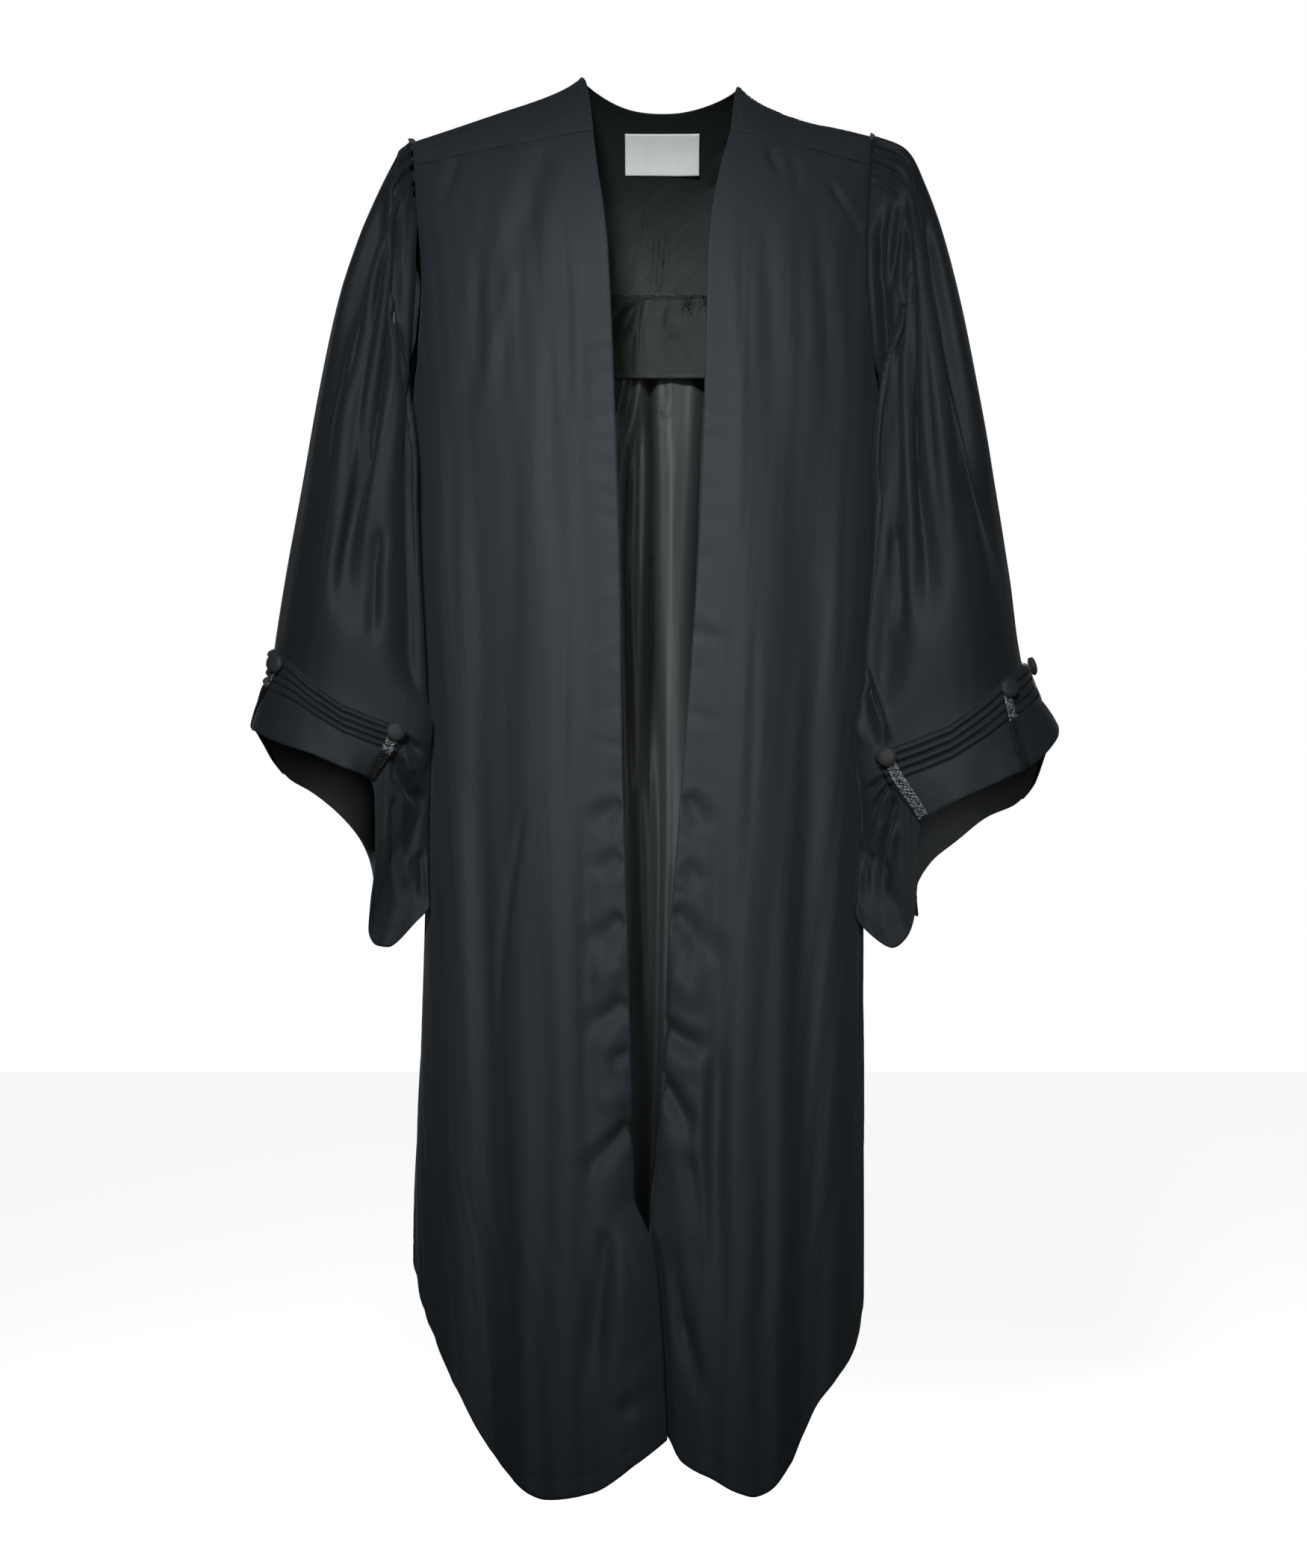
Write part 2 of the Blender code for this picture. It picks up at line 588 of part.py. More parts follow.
def sleeve_points(side, angles, at, lift=0.0):
    """Grid on the sleeve with its folds, moved out by lift."""
    wide = with_ends(angles)
    at = np.asarray(at, float)
    below = at - SMALL_LEVEL
    surface = sleeve_base(side, wide, at)
    across = np.gradient(surface, axis=1)
    along = surface - sleeve_base(side, wide, below)
    normals = np.cross(across, along) * SIGN[side]
    normals /= np.linalg.norm(normals, axis=2, keepdims=True)
    folded = clear_of_body(side, surface + normals * sleeve_folds(side, wide, at)[..., None], at)
    return (folded + normals * np.broadcast_to(lift, folded.shape[:2])[..., None])[:, 1:-1]


def cuff_profile():
    """Levels down the cuff and how far out each one lies: tucks that overlap downwards, then the band."""
    depth = (CUFF_TUCKS_END - CUFF_TOP) / TUCKS
    at, lift = [CUFF_TOP], [TUCK_LOW]
    for number in range(TUCKS):
        top = CUFF_TOP + number * depth
        at += [top + 0.8 * depth, top + 0.97 * depth]
        lift += [TUCK_HIGH, TUCK_LOW]
    at += [CUFF_TUCKS_END + depth / 2, BAND_MIDDLE, 9]
    lift += [BAND_LIFT] * 3
    return np.array(at), np.array(lift)


def with_ends(angles):
    """The angles with one more close by at each end, for slopes."""
    return np.concatenate([[angles[0] - SMALL_ANGLE], angles, [angles[-1] + SMALL_ANGLE]])


def band_flare(angles, at):
    """The band stands further off the arm towards its lower edge on the outer side."""
    around = np.degrees(with_ends(angles))
    first, full, falling, last = BAND_FLARE_ANGLES
    sides = fade(around, first, full) * fade(-around, -last, -falling)
    return BAND_FLARE * fade(np.asarray(at), *BAND_FLARE_LEVELS)[:, None] * sides


def cuff_points(side):
    angles = np.radians(np.linspace(CUFF_START, CUFF_END, CUFF_COLUMNS + 1))
    at, lift = cuff_profile()
    return sleeve_points(side, angles, at, lift[:, None] + band_flare(angles, at))


def braid_points(side, top, bottom):
    """A strip of braid down the cuff from under its button."""
    at = np.linspace(BUTTON_LEVEL, BRAID_END, BRAID_GRID[1])
    rows = []
    for level, degrees in zip(at, np.linspace(top, bottom, len(at))):
        angle = math.radians(degrees)
        near = sleeve_points(side, np.array([angle - SMALL_ANGLE, angle, angle + SMALL_ANGLE]), [level])
        spread = BRAID_WIDTH * SMALL_ANGLE / np.linalg.norm(near[0, 2] - near[0, 0])
        across = np.linspace(angle - spread, angle + spread, BRAID_GRID[0])
        rows.append(sleeve_points(side, across, [level], BRAID_LIFT + band_flare(across, [level])))
    return np.concatenate(rows)


def material(name, colour, roughness):
    made = bpy.data.materials.new(name)
    made.use_nodes = True
    shader = made.node_tree.nodes["Principled BSDF"]
    shader.inputs["Base Color"].default_value = (*colour, 1)
    shader.inputs["Roughness"].default_value = roughness
    shader.inputs["Metallic"].default_value = 0
    made.diffuse_color = (*colour, 1)
    return made


def add(name, mesh, parts, holder, finish):
    obj = bpy.data.objects.new(name, mesh)
    mesh.materials.append(finish)
    obj.parent = holder
    parts.objects.link(obj)
    return obj


def cloth(name, points, wall, tube, parts, holder, finish):
    """A grid of points in millimetres as an open surface, thickened by Solidify to a wall of cloth."""
    rows, columns = points.shape[:2]
    grid = bmesh.new()
    bmesh.ops.create_grid(grid, x_segments=columns - 1, y_segments=rows - 1, size=1)
    for vertex, place in zip(grid.verts, points.reshape(-1, 3) * MM):
        vertex.co = place
    if tube:
        bmesh.ops.remove_doubles(grid, verts=grid.verts, dist=1e-6)
    mesh = bpy.data.meshes.new(name)
    grid.to_mesh(mesh)
    grid.free()
    mesh.shade_smooth()
    obj = add(name, mesh, parts, holder, finish)
    shell = obj.modifiers.new("wall", "SOLIDIFY")
    shell.thickness = wall * MM
    shell.offset = 0
    return obj


def button_mesh():
    """Profile of a covered button, turned by Screw: flat back, rounded rim, domed face."""
    radius, depth = BUTTON_RADIUS * MM, BUTTON_DEPTH * MM
    profile = [(0, 0), (0.72 * radius, 0), (radius, 0.4 * depth), (0.94 * radius, 0.7 * depth)]
    profile += [(0.6 * radius, 0.95 * depth), (0, depth)]
    mesh = bpy.data.meshes.new("button")
    outline = [(x, 0, z) for x, z in reversed(profile)]
    mesh.from_pydata(outline, [(i, i + 1) for i in range(len(outline) - 1)], [])
    return mesh


def button(name, side, degrees, parts, holder, finish):
    """A button square to the sleeve, over the top of its braid."""
    angle = math.radians(degrees)
    angles = np.array([angle - SMALL_ANGLE, angle, angle + SMALL_ANGLE])
    under = sleeve_points(side, angles, [BUTTON_LEVEL])[0, 1]
    out = sleeve_points(side, angles, [BUTTON_LEVEL], BUTTON_LIFT)[0, 1]
    facing = Vector(out - under).normalized()
    obj = add(name, button_mesh(), parts, holder, finish)
    obj.location = Vector(out) * MM
    obj.rotation_mode = "QUATERNION"
    obj.rotation_quaternion = facing.to_track_quat("Z", "Y")
    turned = obj.modifiers.new("turned", "SCREW")
    turned.axis = "Z"
    turned.steps = turned.render_steps = 16
    turned.use_merge_vertices = True
    turned.merge_threshold = 0.00001
    turned.use_smooth_shade = True
    return obj


def build_sleeve(side, parts, holder, gown_cloth, braid, covered):
    sleeve = sleeve_points(side, sleeve_angles(), SLEEVE_LEVELS)
    sleeve[:, -1] = sleeve[:, 0]
    cloth(f"sleeve_{side}", sleeve, WALL, True, parts, holder, gown_cloth)
    cloth(f"cuff_{side}", cuff_points(side), CUFF_WALL, False, parts, holder, gown_cloth)
    for place, top, bottom in BRAIDS[side]:
        strip = braid_points(side, top, bottom)
        cloth(f"braid_{place}_{side}", strip, BRAID_WALL, False, parts, holder, braid)
        button(f"button_{place}_{side}", side, top, parts, holder, covered)


def build():
    for old in list(bpy.data.objects):
        bpy.data.objects.remove(old)
    parts = bpy.data.collections.new("advocate_gown")
    bpy.context.scene.collection.children.link(parts)
    holder = bpy.data.objects.new("shoulder_line", None)
    parts.objects.link(holder)
    gown_cloth = material("black_satin_cloth", (0.022, 0.026, 0.030), 0.42)
    braid = material("silk_braid", (0.06, 0.06, 0.065), 0.25)
    covered = material("covered_button", (0.020, 0.022, 0.027), 0.5)
    woven = material("white_label", (0.85, 0.85, 0.84), 0.7)
    cloth("yoke", yoke_points(), WALL, False, parts, holder, gown_cloth)
    for side in SIGN:
        cloth(f"front_{side}", front_points(side), WALL, False, parts, holder, gown_cloth)
    cloth("back", back_points(), WALL, False, parts, holder, gown_cloth)
    cloth("stay", stay_points(), STAY_WALL, False, parts, holder, gown_cloth)
    cloth("label", label_points(), LABEL_WALL, False, parts, holder, woven)
    for side in SIGN:
        build_sleeve(side, parts, holder, gown_cloth, braid, covered)


build()
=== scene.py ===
"""Looks of the advocate's gown: satin cloth with its folds, seams and stitching, braid, covered buttons.

Cloth surfaces are worked out in millimetres on the same forms as the solids, then written in metres.
Right and left are the wearer's: the right side is at -X and the wearer faces -Y.
"""

import math

import bpy
import numpy as np
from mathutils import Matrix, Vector


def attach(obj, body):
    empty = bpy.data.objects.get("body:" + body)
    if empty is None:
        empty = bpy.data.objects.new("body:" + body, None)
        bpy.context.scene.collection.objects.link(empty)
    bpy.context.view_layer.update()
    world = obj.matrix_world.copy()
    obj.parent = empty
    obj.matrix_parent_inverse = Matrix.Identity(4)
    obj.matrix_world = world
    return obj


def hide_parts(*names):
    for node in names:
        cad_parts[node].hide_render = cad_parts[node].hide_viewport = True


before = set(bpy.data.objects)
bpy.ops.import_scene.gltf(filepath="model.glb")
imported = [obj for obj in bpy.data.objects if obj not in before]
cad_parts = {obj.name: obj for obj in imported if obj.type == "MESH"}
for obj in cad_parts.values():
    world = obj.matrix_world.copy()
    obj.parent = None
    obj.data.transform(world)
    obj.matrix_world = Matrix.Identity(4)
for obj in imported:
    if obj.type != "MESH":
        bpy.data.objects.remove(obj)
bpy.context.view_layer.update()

MM = 0.001
SIGN = {"right": -1, "left": 1}

# Viewpoint: straight ahead of the gown, half way down
CAMERA_BACK = 3200
CAMERA_Z = -630
CAMERA_LENS = 82.3
FLOOR_Z = -1450
LIGHT_COLUMNS = ("name", "place", "aim", "size", "power", "spread", "colour", "glossy")
LIGHTS = (
    ("key", (-0.34, -3.1, 0.75), (0, 0, -0.45), 0.4, 4.1, 33, (0.93, 0.98, 1.0), True),
    ("fill", (0.28, -3.1, -0.45), (0, 0, -0.64), 0.8, 1.15, 38, (0.96, 0.99, 1.0), True),
    ("side_right", (-2.6, 1.6, 0.6), (0, 0, -0.6), 1.6, 3.0, 90, (0.94, 0.98, 1.0), False),
    ("side_left", (2.6, 1.6, 0.6), (0, 0, -0.6), 1.6, 4.0, 90, (0.96, 0.99, 1.0), False),
    ("behind", (0.2, 3.2, 0.9), (0, 0, -0.55), 0.5, 16, 60, (0.95, 0.98, 1.0), True),
    ("behind_fill", (-1.2, 2.6, 0.0), (0, 0, -0.6), 1.2, 6, 70, (0.98, 0.99, 1.0), False),
)

# Finishes: darkest and lightest grey, tint, roughness, gloss, and how strongly deep folds are darkened with
# painted shade
SATIN_COLUMNS = ("dark", "light", "tint", "roughness", "gloss", "painted_fold_shade")
SATINS = {
    "black_satin": (0.021, 0.031, (0.82, 1.0, 1.17), 0.61, 0.14, 0),
    # A darker copy of the outer satin for the sleeves and cuffs: painted shade
    "shaded_sleeve_satin": (0.012, 0.020, (0.82, 1.0, 1.17), 0.60, 0.13, 0),
    # The inner face: lighter and greener than the outer, partly its own tone and partly painted light for the
    # shaded inside; its deepest folds get painted shade
    "satin_inside": (0.052, 0.078, (0.92, 1.03, 1.0), 0.54, 0.24, 0.95),
    "yoke_inside": (0.013, 0.021, (0.86, 1.06, 0.98), 0.54, 0.15, 0),
}
# Near black of the painted shade at the bottom of the deepest folds
PAINTED_SHADE_BLACK = 0.003
SILK_COLUMNS = ("dark", "light", "roughness", "gloss", "metal")
SILKS = {
    # silk_braid's light grey patches are painted glints on the glossy black braid
    "silk_braid": (0.010, 0.22, 0.26, 0.5, 0.15),
    "black_silk_braid": (0.008, 0.016, 0.55, 0.1, 0),
}

# Cloth
WALL = 1.0
BAND_WALL = 0.9
LABEL_WALL = 0.6
SEAM = 0.4
SEAM_DIP = 0.55
SEAM_DIP_RUN = 2.2
WORN_RUN = 2.5
TUCK_UNDER = 4.0
TUCK_UNDER_DROP = 1.7
SIDE_TUCK_IN = 1.4
SIDE_TUCK_BACK = 1.8

# Torso that the cloth hangs on
TORSO_COLUMNS = ("z", "right", "left", "front", "back")
TORSO = (
    (40, 223, 203, 112, 116),
    (-120, 223, 203, 114, 118),
    (-220, 219, 203, 116, 121),
    (-300, 215, 202, 117, 124),
    (-420, 213, 199, 118, 128),
    (-600, 201, 188, 121, 133),
    (-790, 204, 186, 125, 138),
    (-1000, 212, 187, 130, 143),
    (-1250, 217, 187, 133, 148),
)
SQUARENESS = 2.4
RING_Z = -420
FRONT_ROLL = 200
BACK_ROLL = 150
FRONT_ROLL_POWER = 1.15

# Shoulders and armholes
NECK_X = {"right": 64, "left": 76}
NECK_Z = {"right": 0, "left": -8}
SHOULDER_SLOPE = {"right": 0.33, "left": 0.225}
STAND_RISE = {"right": 8, "left": 18}
STAND_RUN = {"right": 12, "left": 20}
BACK_NECK_FALL = 18
RIDGE_STEPS = (-54, -42, -30, -18, -6, 6, 18, 30, 42, 54)
ARMHOLE_COLUMNS = ("share", "front", "back")
ARMHOLE = ((0, 8, 8), (0.25, 14, 15), (0.5, 17, 19), (0.75, 12, 13), (1, 0, 0))
TIP_X = {"right": 214, "left": 195}
UNDERARM_Z = -300

# Yoke seams, front edges and hem
FRONT_SEAM_Z = {"right": -58, "left": -56}
FRONT_SEAM_SLOPE = {"right": 0.15, "left": 0.21}
BACK_SEAM_Z = -181
EDGE_COLUMNS = ("z", "right", "left")
EDGE = (
    (-56, 53, 68),
    (-98, 48, 57),
    (-130, 43, 51),
    (-170, 39, 47),
    (-280, 34, 44),
    (-430, 29, 38),
    (-630, 26, 24),
    (-830, 20, 8),
    (-980, 17, -2),
    (-1030, 0, -3),
    (-1100, -7, 0),
    (-1200, -12, 2),
)
HEM_COLUMNS = ("x", "z")
HEM = {
    "right": (
        (-12, -1194), (14, -1212), (55, -1238), (80, -1242), (93, -1243), (106, -1239), (133, -1215),
        (151, -1190), (164, -1166), (177, -1142), (189, -1118), (201, -1093), (210, -1070), (216, -1046),
    ),
    "left": (
        (2, -1188), (12, -1194), (24, -1213), (50, -1226), (75, -1238), (86, -1241), (97, -1238),
        (118, -1216), (130, -1191), (143, -1166), (162, -1144), (178, -1122), (184, -1098), (187, -1076),
    ),
}
EDGE_RECESS = 16
EDGE_RECESS_RUN = 45
EDGE_RECESS_FADE_Z = (-700, -1000)
UNDERLAP = 4.4
UNDERLAP_FADE_Z = (-900, -1000)
LAP_DROP = 12
LAP_DROP_RUN = 7
LAP_DROP_FADE_Z = (-990, -1060)
TURNED_EDGE = 9
TURNED_EDGE_RUN = 3.6

# Broad folds of the fronts, as distances to the wearer's own side
FRONT_FOLD_COLUMNS = ("x_top", "x_bottom", "half_width", "height", "z_top", "z_bottom")
FRONT_FOLDS = {
    "right": (
        (95, 82, 34, 7, -120, -1250), (150, 140, 16, -7, -220, -1250), (180, 176, 16, 5, -250, -1250),
        (56, 58, 10, -4, -520, -1250), (120, 110, 9, 4, -600, -1250),
    ),
    "left": (
        (88, 78, 32, 7, -120, -1250), (142, 132, 15, -7, -220, -1250), (166, 160, 13, 5, -250, -1250),
        (56, 52, 10, -4, -620, -1250), (112, 108, 9, 4, -600, -1250),
    ),
}

# Back pleats
PLEATS = 11
PLEAT_TOP = 4
PLEAT_HEM = 15
PLEAT_FULL_Z = -620
PLEAT_FADE = 0.16
CROWDING = 5
PLEAT_POINT = -0.15
PLEAT_PHASE = 0.15
SEAM_FLATNESS = 0.12
SEAM_FLAT_RUN = 14
PLEAT_SKEW = 0.5
PLEAT_SIZES = (0.9, 0.75, 1.1, 0.6, 0.95, 0.4, 0.4, 0.9, 0.65, 1.15, 0.7, 0.95)
BACK_HEM_MIDDLE_Z = -1188

# Columns along which the threads of the cloth run straight down
FRONT_STRAIGHT = -1
BACK_STRAIGHT = 126

# Stay, which hangs inside the tops of the pleats, and label
STAY_BOTTOM_Z = -256
STAY_HALF_WIDTH = 150
STAY_DROP = 1.2
STAY_TURNED_IN = 3
STAY_JOIN_Z = -180.6
STAY_AT_SEAM = 3.2
STAY_SMOOTH_TOP = (3, 15)
STAY_TOP_CLEARANCE = 5.6
STAY_BOTTOM_CLEARANCE = 15
LABEL_MIDDLE_X = 8
LABEL_WIDTH = 68
LABEL_TOP_Z = -36
LABEL_HEIGHT = 34.4
LABEL_INSIDE = 1.9

# Sleeve sections from the armhole down
STATION_COLUMNS = ("out_x", "out_z", "in_x", "in_z", "front", "back", "crowd", "lean")
STATIONS = {
    "right": (
        (229, -73, 218, -318, 62, 66, 0.45, 0),
        (244, -102, 218, -350, 74, 76, 0.40, 12),
        (262, -146, 218, -388, 84, 84, 0.30, 21),
        (281, -205, 217, -428, 90, 90, 0.20, 23),
        (298, -285, 214, -474, 93, 95, 0.10, 23),
        (313, -370, 211, -522, 94, 98, 0, 23),
        (326, -440, 208, -568, 94, 98, 0, 23),
        (337, -508, 207, -612, 92, 96, 0, 24),
    ),
    "left": (
        (226, -66, 206, -318, 62, 66, 0.45, 0),
        (242, -96, 205, -352, 74, 76, 0.40, 15),
        (258, -142, 204, -394, 84, 84, 0.30, 22),
        (274, -205, 202, -440, 90, 90, 0.20, 24),
        (288, -275, 199, -490, 93, 95, 0.10, 26),
        (302, -355, 196, -540, 94, 98, 0, 28),
        (316, -440, 193, -590, 94, 98, 0, 30),
        (327, -520, 191, -636, 92, 96, 0, 32),
    ),
}
LEAN_ANGLE = 130
LEAN_SPREAD = 28
INNER_FRONT_POWER = 0.72
BODY_CLEARANCE = {"front": 5, "back": 14}
BODY_CLEARANCE_RUN = 60
BODY_CLEARANCE_LEVELS = (0.2, 1)
ARMHOLE_CROWD = 0.5
SLEEVE_SEAM = 1.7
RIM_COLUMNS = ("angle", "x", "y", "z")
RIM = {
    "right": (
        (0, 348, 2, -583), (18, 344, -45, -584), (38, 326, -84, -594), (62, 296, -100, -604),
        (86, 268, -102, -616), (106, 252, -96, -622), (117, 246, -90, -626), (123, 242, -86, -645),
        (128, 242, -80, -690), (134, 247, -72, -735), (140, 249, -66, -758), (147, 243, -62, -771),
        (154, 232, -59, -773), (162, 209, -62, -752), (171, 196, -60, -737), (183, 207, -20, -728),
        (196, 208, 12, -722), (210, 214, 40, -728), (224, 234, 62, -735), (238, 252, 74, -728),
        (250, 258, 80, -705), (262, 268, 84, -682), (276, 290, 84, -656), (292, 312, 80, -638),
        (310, 332, 64, -625), (330, 341, 42, -610), (346, 346, 20, -592),
    ),
    "left": (
        (0, 352, 0, -582), (18, 348, -42, -592), (38, 329, -82, -613), (62, 299, -98, -628),
        (86, 266, -102, -643), (106, 243, -98, -655), (117, 233, -92, -662), (123, 231, -88, -676),
        (128, 230, -84, -705), (134, 227, -78, -746), (140, 220, -74, -765), (147, 208, -74, -773),
        (154, 190, -76, -762), (162, 178, -76, -748), (171, 175, -62, -735), (183, 188, -25, -726),
        (196, 193, 12, -722), (210, 202, 40, -730), (224, 222, 62, -742), (238, 241, 75, -751),
        (250, 241, 80, -726), (262, 254, 84, -702), (276, 278, 84, -682), (292, 304, 80, -661),
        (310, 330, 62, -648), (330, 341, 42, -632), (346, 347, 20, -604),
    ),
}
TROUGH_COLUMNS = ("angle", "depth", "half_width", "start", "end")
TROUGHS = {
    "right": (
        (48, 6, 12, 1.0, 6.0), (86, 10, 11, 0.6, 7.0), (122, 12, 11, 0.5, 7.6), (163, 8, 10, 0.8, 8.2),
        (205, 7, 13, 1.5, 8.6), (246, 9, 12, 1.0, 8.8), (286, 10, 12, 0.8, 8.8), (325, 8, 12, 0.8, 8.2),
    ),
    "left": (
        (54, 8, 13, 0.6, 6.2), (92, 7, 10, 2.0, 6.8), (114, 12, 10, 0.4, 7.6), (139, 8, 9, 3.0, 8.6),
        (164, 8, 10, 0.8, 8.2), (205, 7, 13, 1.5, 8.6), (246, 9, 12, 1.0, 8.8), (286, 10, 12, 0.8, 8.8),
        (325, 8, 12, 0.8, 8.2),
    ),
}
BESIDE_BODY = {"right": 8, "left": 0}
GATHERS = 5
GATHER_FIRST = 8
GATHER_STEP = 16.8
GATHER_HEIGHT = 2.6
GATHER_END = 1.6

# Cuff, braid and buttons
CUFF_START = -44
CUFF_END = 118
CUFF_TOP = 8.02
UNDER_CUFF_LEVELS = (7.85, 8.02)
CUFF_TUCKS_END = 8.45
TUCKS = 4
TUCK_LOW = 2.1
TUCK_HIGH = 5.0
TUCK_COLUMNS = ("down", "out")
TUCK = (
    (0.00, -0.35), (0.08, 0.05), (0.18, 0.42), (0.30, 0.70), (0.44, 0.90), (0.56, 1.0), (0.68, 0.98),
    (0.79, 0.82), (0.88, 0.52), (0.94, 0.15), (0.985, -0.25),
)
PINCH_ANGLE = {"right": 72, "left": 40}
PINCH_STEP = 3
PINCH_HALF = 2.4
PINCH_DEPTH = 1.3
BAND_LEVELS = (CUFF_TUCKS_END, 8.7)
BAND_LIFT = 2.6
BAND_END = 8.985
BAND_ROWS = 18
BAND_FLARE = 6
BAND_FLARE_LEVELS = (8.3, 9)
BAND_FLARE_ANGLES = (-40, 0, 10, 70)
BRAID_END = 8.98
# The last column is the share of each braid's length, from its button down, that has painted glints
BRAID_COLUMNS = ("place", "top", "bottom", "painted_glint_share")
BRAIDS = {
    "right": (("outer", 38, 6, 0.38), ("inner", 112, 113, 0.44), ("rear", -36, -36, 0.6)),
    "left": (("outer", 50, 46, 0.38), ("inner", 113, 113, 1.0), ("rear", -4, -8, 0.6)),
}
BRAID_WIDTH = 12
BRAID_LIFT = 6.6
BRAID_LIFT_BELOW = 4.4
BRAID_STRANDS = 7
STRAND_RADIUS = 0.95
STRAND_SIDES = 6
STRAND_STEPS = 46
STRAND_SWING = 0.35
STRAND_TURN_LENGTH = 11.5
BUTTON_RADIUS = 8.5
BUTTON_DEPTH = 6
BUTTON_LIFT = 7.9
BUTTON_LEVEL = 8.1
BUTTON_SIDES = 40
BUTTON_COLUMNS = ("radius", "height")
BUTTON_PROFILE = (
    (0.0, 0.0), (0.62, 0.0), (0.74, 0.04), (0.86, 0.14), (0.97, 0.28), (1.0, 0.42), (0.985, 0.56),
    (0.93, 0.70), (0.82, 0.83), (0.66, 0.92), (0.46, 0.98), (0.24, 1.0), (0.0, 1.0),
)
TURNED_FORWARD = {"button_outer_right": 0.9, "button_outer_left": 0.5}
SMALL_ANGLE = 0.02
SMALL_LEVEL = 0.02

# Creases as seen from the front: half widths near their start and at their far end, height (below 0
# for a valley), and the way each one runs, across and up. They start sharp and fade out.
CREASE_COLUMNS = ("near", "far", "height", "path")
FRONT_RELIEF = 1.2
YOKE_RELIEF = 0.9
STAY_RELIEF = 0.9
FRONT_CREASES = {
    "right": (
        (8, 12, -3.6, ((-29, -644), (-41, -656), (-56, -672))),
        (7, 10, -3.2, ((-29, -692), (-41, -702), (-54, -714))),
        (8, 12, -4.6, ((-26, -748), (-42, -764), (-60, -780))),
        (9, 10, 2.0, ((-25, -790), (-40, -800), (-56, -812))),
        (8, 11, -5.0, ((-23, -822), (-42, -837), (-63, -854))),
        (6, 8, -3.0, ((-20, -869), (-32, -875), (-44, -882))),
        (9, 11, 2.2, ((-18, -902), (-34, -912), (-48, -924))),
        (6, 11, -6.4, ((-17, -932), (-38, -954), (-64, -986))),
        (9, 10, 1.8, ((-16, -970), (-30, -985), (-44, -1000))),
        (7, 9, -4.4, ((-8, -1002), (-28, -1010), (-44, -1024))),
        (8, 10, -5.6, ((-40, -1022), (-46, -1075), (-51, -1120), (-54, -1175))),
        (13, 15, 3.4, ((-18, -1030), (-19, -1085), (-14, -1140))),
        (6, 8, -2.4, ((6, -1122), (-12, -1140), (-28, -1154))),
        (7, 9, -3.2, ((14, -1166), (-12, -1182), (-42, -1198))),
        (3, 4, -2.6, ((-115, -650), (-123, -690), (-132, -745), (-136, -800), (-138, -880))),
        (11, 13, -3.0, ((-98, -60), (-106, -95), (-118, -140), (-126, -180))),
        (3, 6, -1.6, ((-174, -70), (-180, -87), (-188, -114))),
    ),
    "left": (
        (8, 12, -3.6, ((31, -638), (38, -655), (52, -674))),
        (7, 9, -2.6, ((29, -698), (36, -712), (46, -724))),
        (10, 13, -4.4, ((17, -740), (36, -765), (58, -794))),
        (10, 12, 2.8, ((14, -796), (32, -815), (46, -835))),
        (7, 10, -6.0, ((5, -842), (26, -858), (56, -870))),
        (8, 10, 2.2, ((6, -872), (26, -884), (42, -898))),
        (6, 10, -6.2, ((0, -886), (18, -912), (38, -954))),
        (9, 10, 2.2, ((12, -935), (20, -990), (20, -1040))),
        (7, 9, -4.2, ((30, -956), (38, -1020), (40, -1070), (34, -1120))),
        (8, 10, -3.8, ((57, -860), (55, -960), (58, -1060), (62, -1140))),
        (7, 9, -4.0, ((12, -1036), (20, -1090), (34, -1158))),
        (6, 8, -2.8, ((22, -1104), (36, -1150), (46, -1190))),
        (3, 4, -2.0, ((156, -92), (175, -121), (195, -153))),
        (4, 5, -2.0, ((103, -61), (108, -74), (116, -88))),
        (4, 6, -1.2, ((122, -66), (128, -86), (131, -110))),
    ),
}

# Long soft falls of the fronts
FRONT_FALLS = {
    "right": (
        (6, 9, -2.4, ((-149, -90), (-153, -160), (-158, -220), (-160, -320))),
        (5, 8, 1.6, ((-120, -150), (-136, -210), (-150, -270), (-158, -340))),
        (8, 11, -2.2, ((-90, -200), (-95, -330), (-92, -480))),
        (9, 14, -1.6, ((-118, -280), (-124, -440), (-122, -620))),
        (6, 8, 1.5, ((-64, -160), (-70, -330), (-66, -500))),
        (7, 10, -2.4, ((-164, -500), (-154, -760), (-142, -1020))),
        (7, 10, -2.0, ((-98, -760), (-96, -980), (-102, -1180))),
        (4, 6, -1.3, ((-76, -420), (-80, -560), (-84, -720))),
        (4, 6, -1.2, ((-178, -260), (-180, -420), (-174, -600))),
    ),
    "left": (
        (6, 9, -2.4, ((144, -90), (150, -170), (156, -240), (158, -350))),
        (9, 12, -2.0, ((94, -90), (104, -200), (108, -360))),
        (10, 14, -1.8, ((124, -260), (130, -420), (134, -600))),
        (5, 8, 1.5, ((72, -150), (78, -300), (76, -480))),
        (7, 10, -2.4, ((142, -500), (134, -760), (126, -1010))),
        (7, 10, -2.0, ((96, -800), (98, -1000), (104, -1180))),
        (4, 6, -1.3, ((92, -440), (88, -600), (86, -740))),
        (4, 6, -1.2, ((172, -300), (170, -460), (168, -640))),
    ),
}
PUCKER_TOP = -170
PUCKER_END = -1120
PUCKER_STEP = 31
PUCKER_REACH = 34
PUCKER_HEIGHT = 1.1

